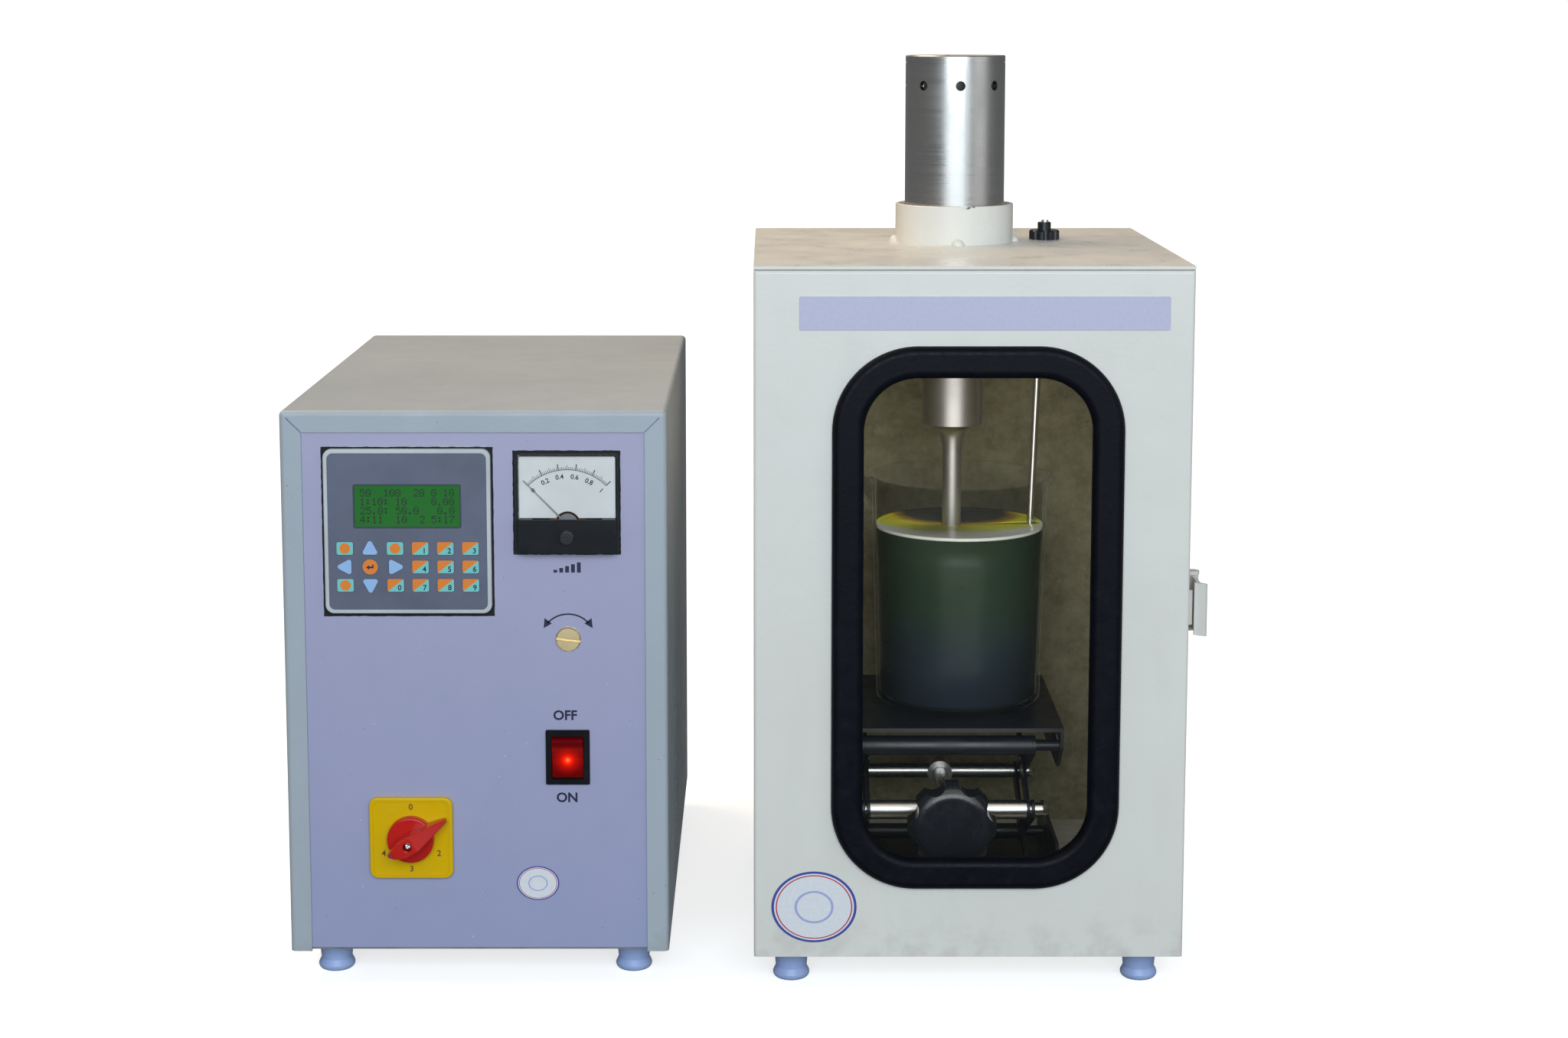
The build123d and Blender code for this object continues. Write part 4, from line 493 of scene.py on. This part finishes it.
def baked(holder):
    """The mesh of an object with its modifiers or its curve settings applied."""
    bpy.context.view_layer.update()
    return bpy.data.meshes.new_from_object(holder.evaluated_get(bpy.context.evaluated_depsgraph_get()))


def add(name, shape, materials, body, bevel=0.0):
    """A new piece, from a mesh or bmesh in millimetres, becomes an object in metres that rides on a body."""
    mesh = shape
    if isinstance(shape, bmesh.types.BMesh):
        mesh = bpy.data.meshes.new(name)
        bmesh.ops.recalc_face_normals(shape, faces=shape.faces[:])
        shape.to_mesh(mesh)
        shape.free()
    mesh.transform(Matrix.Scale(MM, 4))
    piece = place_in_scene(name, mesh)
    for material in materials if isinstance(materials, list) else [materials]:
        mesh.materials.append(material)
    if bevel:
        modifier = piece.modifiers.new("edge", "BEVEL")
        modifier.width = bevel * MM
        modifier.segments = 2
        modifier.limit_method = "ANGLE"
        fresh = baked(piece)
        piece.modifiers.clear()
        piece.data = fresh
    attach(piece, body)
    return piece


def prism(bm, outline, y_front, y_back, index=0):
    """A flat piece seen from the front: (x, z) points, from y_front back to y_back."""
    front = [bm.verts.new((x, y_front, z)) for x, z in outline]
    back = [bm.verts.new((x, y_back, z)) for x, z in outline]
    faces = [bm.faces.new(front), bm.faces.new(back[::-1])]
    for i in range(len(outline)):
        j = (i + 1) % len(outline)
        faces.append(bm.faces.new((front[i], back[i], back[j], front[j])))
    for face in faces:
        face.material_index = index


def band(outer, inner, y_front, y_back):
    """A flat ring between two outlines of as many points."""
    bm = bmesh.new()
    for i in range(len(outer)):
        j = (i + 1) % len(outer)
        prism(bm, [outer[i], outer[j], inner[j], inner[i]], y_front, y_back)
    bmesh.ops.remove_doubles(bm, verts=bm.verts[:], dist=0.001)
    return bm


def rectangle(left, bottom, right, top):
    return [(left, bottom), (right, bottom), (right, top), (left, top)]


def rounded(x, z, width, height, corner, steps):
    """A rectangle with round corners, centred on x and z."""
    points = []
    for quarter in range(4):
        cx = x + (width / 2 - corner) * (1, -1, -1, 1)[quarter]
        cz = z + (height / 2 - corner) * (1, 1, -1, -1)[quarter]
        for step in range(steps + 1):
            angle = math.radians(90 * quarter + 90 * step / steps)
            points.append((cx + corner * math.cos(angle), cz + corner * math.sin(angle)))
    return points


def oval(x, z, half_width, half_height, steps):
    turns = [2 * math.pi * i / steps for i in range(steps)]
    return [(x + half_width * math.cos(t), z + half_height * math.sin(t)) for t in turns]


def disc(x, z, radius, steps):
    return oval(x, z, radius, radius, steps)


def cut_polygon(points, a, b, c):
    """Keeps the part of a convex outline where a*x + b*z <= c."""
    kept = []
    for i, p in enumerate(points):
        q = points[(i + 1) % len(points)]
        dp, dq = a * p[0] + b * p[1] - c, a * q[0] + b * q[1] - c
        if dp <= 0:
            kept.append(p)
        if dp * dq < 0:
            t = dp / (dp - dq)
            kept.append((p[0] + t * (q[0] - p[0]), p[1] + t * (q[1] - p[1])))
    return kept


def text(name, words, x, y, z, size, ink, bold, turn=0.0):
    """Printed characters, as thin as ink, centred on x and z and facing the front."""
    curve = bpy.data.curves.new(name, "FONT")
    curve.body = words
    curve.size = size
    curve.align_x = "CENTER"
    curve.align_y = "CENTER"
    curve.extrude = INK
    curve.offset = bold
    curve.resolution_u = 3
    holder = place_in_scene(name + "_curve", curve)
    mesh = baked(holder)
    bpy.data.objects.remove(holder)
    upright = Matrix.Rotation(math.radians(turn), 4, "Y") @ Matrix.Rotation(math.pi / 2, 4, "X")
    mesh.transform(Matrix.Translation((x, y, z)) @ upright)
    add(name, mesh, ink, "housings")


def turned(profile, x, y, steps):
    """A solid turned round a vertical axis, from (radius, z) points of a closed outline."""
    bm = bmesh.new()
    rows = []
    for i in range(steps):
        angle = 2 * math.pi * i / steps
        rows.append([bm.verts.new((x + r * math.cos(angle), y + r * math.sin(angle), z)) for r, z in profile])
    for i in range(steps):
        a, b = rows[i], rows[(i + 1) % steps]
        for j in range(len(profile)):
            k = (j + 1) % len(profile)
            if profile[j][0] == 0 and profile[k][0] == 0:
                continue
            bm.faces.new((a[j], b[j], b[k], a[k]))
    bmesh.ops.remove_doubles(bm, verts=bm.verts[:], dist=1e-6)
    return bm


# Each character is seven rows of five dots, from the top, each row a two-digit hexadecimal number
DOTS = {
    "0": "0E11191513110E", "1": "040C040404040E", "2": "0E11010204081F", "3": "1F02040201110E",
    "4": "02060A121F0202", "5": "1F101E0101110E", "6": "0608101E11110E", "7": "1F010204080808",
    "8": "0E11110E11110E", "9": "0E11110F01020C", ".": "00000000000C0C", ":": "000C0C000C0C00",
}


def display_dots(ink):
    """Four rows of five-by-seven dot characters, digits only."""
    bm = bmesh.new()
    glass = corners("controller_display")[0][1]
    pitch_x, pitch_z, step_x, step_z = 3.42, 5.2, 0.58, 0.62
    half_x, half_z = step_x * 0.48, step_z * 0.48
    rows = ("50  100  20 0 10", "1:10: 10    0.00", "25.0: 50.0   0.0", "4:11  10  2 5:17")
    for row, line in enumerate(rows):
        for column, char in enumerate(line):
            if char == " ":
                continue
            for j in range(7):
                bits = int(DOTS[char][2 * j:2 * j + 2], 16)
                for i in range(5):
                    if bits >> (4 - i) & 1:
                        x = CONTROLLER_X + (column - 7.5) * pitch_x + (i - 2) * step_x
                        z = DISPLAY_Z + (1.5 - row) * pitch_z + (3 - j) * step_z
                        dot = rectangle(x - half_x, z - half_z, x + half_x, z + half_z)
                        prism(bm, dot, glass - 0.10, glass - 0.05)
    add("display_dots", bm, ink, "housings")


def display_ring(name, outer_size, inner_size, y_front, y_back, material):
    """A flat rounded frame round the display."""
    outer = rounded(CONTROLLER_X, DISPLAY_Z, *outer_size, 1.2, 4)
    inner = rounded(CONTROLLER_X, DISPLAY_Z, *inner_size, 0.5, 4)
    add(name, band(outer, inner, y_front, y_back), material, "housings")


def pick(x, z, turn):
    """A key shaped like a guitar pick: three discs with straight sides round them."""
    discs = ((-2.9, -2.3, 1.3), (2.9, -2.3, 1.3), (0.0, 2.9, 1.4))
    steps = 40
    c, s = math.cos(turn), math.sin(turn)
    points = []
    for i in range(steps):
        a, b = math.cos(2 * math.pi * i / steps), math.sin(2 * math.pi * i / steps)
        u, v, r = max(discs, key=lambda d: d[0] * a + d[1] * b + d[2])
        u, v = u + r * a, v + r * b
        points.append((x + c * u - s * v, z + s * u + c * v))
    return points


def keypad(inks):
    """The printed faces of the keys: squares with a disc, picks for arrows, the round key
    and number keys in two colours."""
    face = corners("controller_keypad")[0][1]
    print_y, symbol_y = face - 0.06, face - 0.10
    bm = bmesh.new()
    aqua, orange, sky, navy = range(4)
    picks = {(1, 0): 0, (0, 1): 90, (2, 1): -90, (1, 2): 180}
    numbers = {
        (2, 2): "0", (3, 0): "1", (4, 0): "2", (5, 0): "3", (3, 1): "4",
        (4, 1): "5", (5, 1): "6", (3, 2): "7", (4, 2): "8", (5, 2): "9"
    }
    arrow = (
        (1.9, 1.4), (1.9, -0.8), (-0.6, -0.8), (-0.6, -1.7), (-2.4, -0.3),
        (-0.6, 1.1), (-0.6, 0.2), (1.1, 0.2), (1.1, 1.4)
    )
    for column in range(6):
        for row in range(3):
            x = CONTROLLER_X + (column - 2.5) * KEY_STEP_X
            z = CONTROLLER_Z - 9.7 - row * KEY_STEP_Z
            square = rounded(x, z, KEY_WIDTH, KEY_HEIGHT, KEY_CORNER, 3)
            place = (column, row)
            if place in numbers:
                a, b = -KEY_HEIGHT, KEY_WIDTH
                c = a * x + b * z
                prism(bm, cut_polygon(square, a, b, c), print_y, face, aqua)
                prism(bm, cut_polygon(square, -a, -b, -c), print_y, face, orange)
                label = numbers[place]
                text(
                    f"key_{label}", label, x + 2.3, symbol_y, z - 1.5, 4.4, inks[navy], bold=0.08
                )
            elif place in picks:
                prism(bm, pick(x, z, math.radians(picks[place])), print_y, face, sky)
            elif place == (1, 1):
                prism(bm, disc(x, z, 4.4, 32), print_y, face, orange)
                prism(bm, [(x + u, z + v) for u, v in arrow], symbol_y, print_y, navy)
            else:
                prism(bm, square, print_y, face, aqua)
                prism(bm, disc(x, z, 3.1, 28), symbol_y, print_y, orange)
    add("key_faces", bm, inks, "housings")
    glass = corners("controller_display")[0][1]
    green = nodes["controller_display"].data.materials[0]
    edge = flat_ink("display_edge", (0.03, 0.05, 0.055), 0.5)
    display_ring("display_rim", (60.6, 24.2), (56.8, 20.4), glass - 0.05, glass, green)
    display_ring("display_frame", (62.2, 25.8), (60.2, 23.8), face + 0.46, face + 1.2, edge)


def meter_print(ink):
    """The scale: an arc, fine and long marks, and its numbers."""
    bm = bmesh.new()
    dial = corners("meter_dial")[0][1]
    pivot_z = METER_Z - NEEDLE_PIVOT_DROP
    half_turn, half_line = 45, 0.16
    arc_steps, marks = 60, 50

    def polar(r, degrees):
        angle = math.radians(degrees)
        return METER_X + r * math.sin(angle), pivot_z + r * math.cos(angle)

    for i in range(arc_steps):
        a, b = (-half_turn + 2 * half_turn * j / arc_steps for j in (i, i + 1))
        outer, inner = SCALE_RADIUS + half_line, SCALE_RADIUS - half_line
        prism(bm, [polar(outer, a), polar(outer, b), polar(inner, b), polar(inner, a)], dial - INK, dial)
    for i in range(marks + 1):
        angle = -half_turn + 2 * half_turn * i / marks
        major, middling = i % 10 == 0, i % 5 == 0
        end = SCALE_RADIUS + (3.6 if major else 2.6 if middling else 1.6)
        wide = math.degrees((0.26 if major else 0.13) / SCALE_RADIUS)
        low, high = angle - wide, angle + wide
        mark = [polar(SCALE_RADIUS, low), polar(SCALE_RADIUS, high), polar(end, high), polar(end, low)]
        prism(bm, mark, dial - 0.05, dial)
    add("meter_scale", bm, ink, "housings")
    for i, label in enumerate(("0", "0.2", "0.4", "0.6", "0.8", "1")):
        angle = -half_turn + 18 * i
        x, z = polar(SCALE_RADIUS - 4.0, angle)
        text(
            f"meter_number_{i}", label, x, dial - INK, z, 3.9, ink, turn=angle * 0.9, bold=0.06
        )


def needle_boss(ink):
    """The small round boss that the meter's needle turns with."""
    dial = corners("meter_dial")[0][1]
    bm = bmesh.new()
    prism(bm, disc(METER_X, METER_Z - NEEDLE_PIVOT_DROP, 1.0, 16), dial - 2.1, dial - 1.8)
    add("meter_pivot_boss", bm, ink, "needle")


def panel_print(navy, brown, badge_inks):
    """Captions become small pictograms; only ON and OFF and the selector's numbers are written."""
    print_y = PANEL_Y - 0.02
    text("switch_off", "OFF", SWITCH_X - 1.4, print_y, SWITCH_Z + 24.6, 7.9, navy, bold=0.22)
    text("switch_on", "ON", SWITCH_X - 0.6, print_y, SWITCH_Z - 24.6, 7.9, navy, bold=0.22)
    bm = bmesh.new()
    outer, inner = 16.4, 15.5
    for i in range(16):
        a, b = math.radians(42 + 6 * i), math.radians(42 + 6 * (i + 1))
        piece_ends = ((outer, a), (outer, b), (inner, b), (inner, a))
        outline = [(TUNING_X + r * math.cos(t), TUNING_Z - 1 + r * math.sin(t)) for r, t in piece_ends]
        prism(bm, outline, PANEL_Y - INK, PANEL_Y)
    for side in (-1, 1):
        tip = ((side * 14.2, 6.6), (side * 9.4, 9.4), (side * 13.6, 12.6))
        prism(bm, [(TUNING_X + u, TUNING_Z + v) for u, v in tip], PANEL_Y - INK, PANEL_Y)
    bar_foot = METER_Z - 40.6
    for i in range(5):
        left = TUNING_X - 8.2 + i * 3.4
        prism(bm, rectangle(left, bar_foot, left + 2.2, bar_foot + 1.6 + i * 1.1), PANEL_Y - INK, PANEL_Y)
    add("panel_pictograms", bm, navy, "housings")
    bm = bmesh.new()
    badge(bm, GEN_X + 34.5, 61.0, 12.4, 10.2, PANEL_Y)
    add("panel_badge", bm, badge_inks, "housings")
    plate = corners("selector_plate")[0][1] + 0.7
    numbers_radius = 18.6
    for label in range(5):
        angle = math.radians(60 * label)
        x = SELECTOR_X + numbers_radius * math.sin(angle)
        z = SELECTOR_Z + numbers_radius * math.cos(angle)
        text(f"selector_{label}", str(label), x, plate - 0.02, z, 5.0, brown, bold=0.08)


def badge(bm, x, z, half_width, half_height, y):
    """A plain oval plate: a blue rim, a fine red line and an empty white field with a pale ring."""
    thick, layer = 0.35, 0.05
    blue, white, red, pale = range(4)
    layers = ((1.0, blue), (0.94, white), (0.90, red), (0.87, white), (0.46, pale), (0.40, white))
    for level, (share, index) in enumerate(layers):
        front = y - thick - layer * (level + 1)
        back = y if level == 0 else y - thick - layer * level
        prism(bm, oval(x, z, half_width * share, half_height * share, 72), front, back, index)


def enclosure_plates(strip, badge_inks):
    """The strip above the window and the oval badge below it, both left without any words."""
    bm = bmesh.new()
    prism(bm, rounded(CASE_X + 6, 398.2, 210, 19.3, 0.8, 3), CASE_FRONT - 0.5, CASE_FRONT)
    add("door_strip", bm, strip, "door", 0.15)
    bm = bmesh.new()
    badge(bm, CASE_X - 90.0, 50.5, 24.8, 21.3, CASE_FRONT)
    add("door_badge", bm, badge_inks, "door")


def rough_gap(name, node, gaps, ink):
    """A painted shadow: a dark ragged band laid round an instrument over the gap of a hand-cut opening, where there is
    only shade; gaps are left, right, bottom, top in mm.
    """
    low, high = corners(node)
    left, right, bottom, top = low[0], high[0], low[2], high[2]
    ends = rectangle(left - gaps[0], bottom - gaps[2], right + gaps[1], top + gaps[3])
    steps, wander = 34, 0.16
    outline = []
    for i in range(4):
        a, b = ends[i], ends[(i + 1) % 4]
        for step in range(steps):
            t = step / steps
            x = a[0] + (b[0] - a[0]) * t + random.uniform(-wander, wander)
            z = a[1] + (b[1] - a[1]) * t + random.uniform(-wander, wander)
            outline.append((x, z))
    x0, z0 = (left + right) / 2, (bottom + top) / 2
    inner = [(x0 + (x - x0) * 0.9, z0 + (z - z0) * 0.9) for x, z in outline]
    # the band is painted shadow, not a real part
    add(name, band(outline, inner, PANEL_Y - 0.06, PANEL_Y), ink, "housings")


def swept_rod(x, y, radius, low, lean):
    """The room that a still rod needs in the liquid while the jack lifts the liquid round it."""
    bm = bmesh.new()
    reach = 60 + JACK_RISE
    ends = [(JACK_RISE, 0), (0, reach)]
    if lean != (0, 0):
        ends += [(0, 0), (JACK_RISE, reach)]
    for drop, rise in ends:
        for u, v in disc(x + lean[0] * rise, y + lean[1] * rise, radius, 40):
            bm.verts.new((u, v, low - drop + rise))
    bmesh.ops.convex_hull(bm, input=bm.verts[:])
    bmesh.ops.delete(bm, geom=[v for v in bm.verts if not v.link_faces], context="VERTS")
    bmesh.ops.recalc_face_normals(bm, faces=bm.faces[:])
    return bm


def plain_object(name, bm):
    mesh = bpy.data.meshes.new(name)
    bm.to_mesh(mesh)
    bm.free()
    return place_in_scene(name, mesh)


def liquid():
    """The treated liquid, with a slight meniscus at the wall and hollows for the probe and the sensor."""
    floor, top = JACK_TOP + 2.75, LIQUID_TOP
    base_radius, rim_radius, wall_height = 50.05, 53.95, 137.0

    def wall(z):
        return base_radius + (rim_radius - base_radius) * (z - JACK_TOP - 3) / wall_height

    profile = [(0, floor), (47.0, floor), (50.0, floor + 3.2)]
    profile += [(wall(z), z) for z in (floor + 30, floor + 60, floor + 90, top + 1.2)]
    profile += [(wall(top) - 0.7, top + 0.45), (wall(top) - 2.0, top), (0, top)]
    whole = turned(profile, BEAKER_X, BEAKER_Y, 96)
    bmesh.ops.recalc_face_normals(whole, faces=whole.faces[:])
    whole = plain_object("liquid_body", whole)
    hollows = [
        plain_object("hollow", swept_rod(PROBE_X, PROBE_Y, 6.25, 221.7, (0, 0))),
        plain_object("hollow", swept_rod(*SENSOR_TIP, 2.5, 239.3, SENSOR_LEAN)),
    ]
    for hollow in hollows:
        modifier = whole.modifiers.new("hollow", "BOOLEAN")
        modifier.operation = "DIFFERENCE"
        modifier.object = hollow
        modifier.solver = "EXACT"
    done = baked(whole)
    for spare in [whole, *hollows]:
        bpy.data.objects.remove(spare)
    clean = bmesh.new()
    clean.from_mesh(done)
    bmesh.ops.remove_doubles(clean, verts=clean.verts[:], dist=0.01)
    piece = add("liquid", clean, dead_liquid(), "platform")
    for face in piece.data.polygons:
        face.use_smooth = True


def cap_mark(red):
    """A tiny red mark on the top of the converter's cap."""
    top = corners("converter_cap")[1][2]
    bm = bmesh.new()
    bmesh.ops.create_icosphere(bm, subdivisions=2, radius=1.0)
    for v in bm.verts:
        v.co = Vector((PROBE_X - 6.5 + v.co.x * 1.6, PROBE_Y - 20 + v.co.y * 1.6, top + v.co.z * 0.35))
    add("cap_mark", bm, red, "probe")


# Stage and light

def add_area(name, place, target, size, power, color, size_y=None):
    """A soft light that the camera doesn't see: a square, or a rectangle where size_y is given."""
    data = bpy.data.lights.new(name, "AREA")
    data.energy = power
    data.color = color
    data.size = size
    if size_y:
        data.shape = "RECTANGLE"
        data.size_y = size_y
    lamp = place_in_scene(name, data)
    lamp.location = place
    lamp.rotation_euler = (Vector(target) - Vector(place)).to_track_quat("-Z", "Y").to_euler()
    lamp.visible_camera = False


def add_stage():
    """A white sweep: a floor that curves up into a back wall, and soft studio lights."""
    s = Shader("pale_floor", (0.86, 0.86, 0.855), 0.7)
    s.to("Base Color", s.mix(s.span(s.noise(6, 3), 0.3, 0.7), (0.87, 0.87, 0.865), (0.84, 0.84, 0.835)))
    s.set("Emission Color", (1.0, 1.0, 1.0, 1))
    s.set("Emission Strength", 0.66)
    half_width, near, bend_start, bend, height = 7.0, -6.0, 1.6, 1.4, 7.0
    side_on = [(near, 0.0), (bend_start, 0.0)]
    for angle in range(6, 91, 6):
        turn = math.radians(angle)
        side_on.append((bend_start + bend * math.sin(turn), bend - bend * math.cos(turn)))
    side_on.append((bend_start + bend, height))
    bm = bmesh.new()
    rows = [[bm.verts.new((x, y, z)) for x in (-half_width, half_width)] for y, z in side_on]
    for low, high in zip(rows, rows[1:]):
        bm.faces.new((low[0], low[1], high[1], high[0])).smooth = True
    floor = plain_object("floor", bm)
    floor.data.materials.append(s.material)
    floor.visible_diffuse = False
    floor.visible_glossy = False
    floor.visible_shadow = False
    world = bpy.data.worlds.new("soft_studio")
    world.use_nodes = True
    background = world.node_tree.nodes["Background"]
    background.inputs["Color"].default_value = (0.88, 0.94, 1.0, 1)
    background.inputs["Strength"].default_value = 0.16
    bpy.context.scene.world = world
    bpy.context.scene.view_settings.view_transform = "Standard"
    middle_up = (0, 0, 0.25)
    add_area("overhead_warm", (-1.0, 0.3, 1.8), (-0.15, 0.05, 0.3), 1.5, 22, (1.0, 0.78, 0.54), 1.2)
    add_area("back_fill", (0.2, 2.4, 1.8), middle_up, 1.8, 11, (1.0, 0.86, 0.70), 1.2)
    add_area("front_cool", (0.1, -2.8, 1.15), middle_up, 2.6, 68, (0.80, 0.91, 1.0), 1.6)
    add_area("right_side", (1.9, -1.2, 0.9), (0.1, 0, 0.3), 1.3, 5, (0.94, 0.97, 1.0))
    add_area("window_glow", (0.134, -0.160, 0.235), (0.134, 0.1, 0.225), 0.14, 0.20, (1.0, 0.97, 0.88), 0.27)


def main():
    random.seed(7)
    add_camera()
    dress_nodes()
    navy = flat_ink("navy_ink", (0.010, 0.011, 0.05), 0.45)
    black_ink = flat_ink("black_ink", (0.006, 0.006, 0.008), 0.5)
    brown = flat_ink("brown_ink", (0.14, 0.06, 0.010), 0.45)
    badge_inks = [
        flat_ink("rim_blue", (0.06, 0.08, 0.36), 0.35),
        flat_ink("enamel_white", (0.80, 0.81, 0.84), 0.35),
        flat_ink("fine_red", (0.55, 0.03, 0.05), 0.4),
        flat_ink("pale_ring", (0.42, 0.46, 0.72), 0.4),
    ]
    key_inks = [
        flat_ink("aqua_ink", (0.19, 0.62, 0.58), 0.4),
        flat_ink("orange_ink", (0.86, 0.24, 0.02), 0.4),
        flat_ink("sky_ink", (0.33, 0.53, 0.85), 0.4),
        navy,
    ]
    display_dots(flat_ink("dot_ink", (0.004, 0.02, 0.006), 0.4))
    keypad(key_inks)
    meter_print(black_ink)
    needle_boss(black_ink)
    panel_print(navy, brown, badge_inks)
    enclosure_plates(flat_ink("strip_film", (0.56, 0.55, 0.72), 0.26), badge_inks)
    # Painted shadow: dark bands in the gaps round the controller and the meter, where there is only shade
    shadow_fill = flat_ink("gap_shadow", (0.004, 0.004, 0.005), 0.8)
    rough_gap("controller_shadow_band", "controller_bezel", (1.5, 1.3, 2.3, 0.9), shadow_fill)
    rough_gap("meter_shadow_band", "meter_cover", (2.2, 1.2, 0.8, 1.5), shadow_fill)
    liquid()
    cap_mark(flat_ink("red_mark", (0.6, 0.02, 0.02), 0.4))
    add_stage()


main()
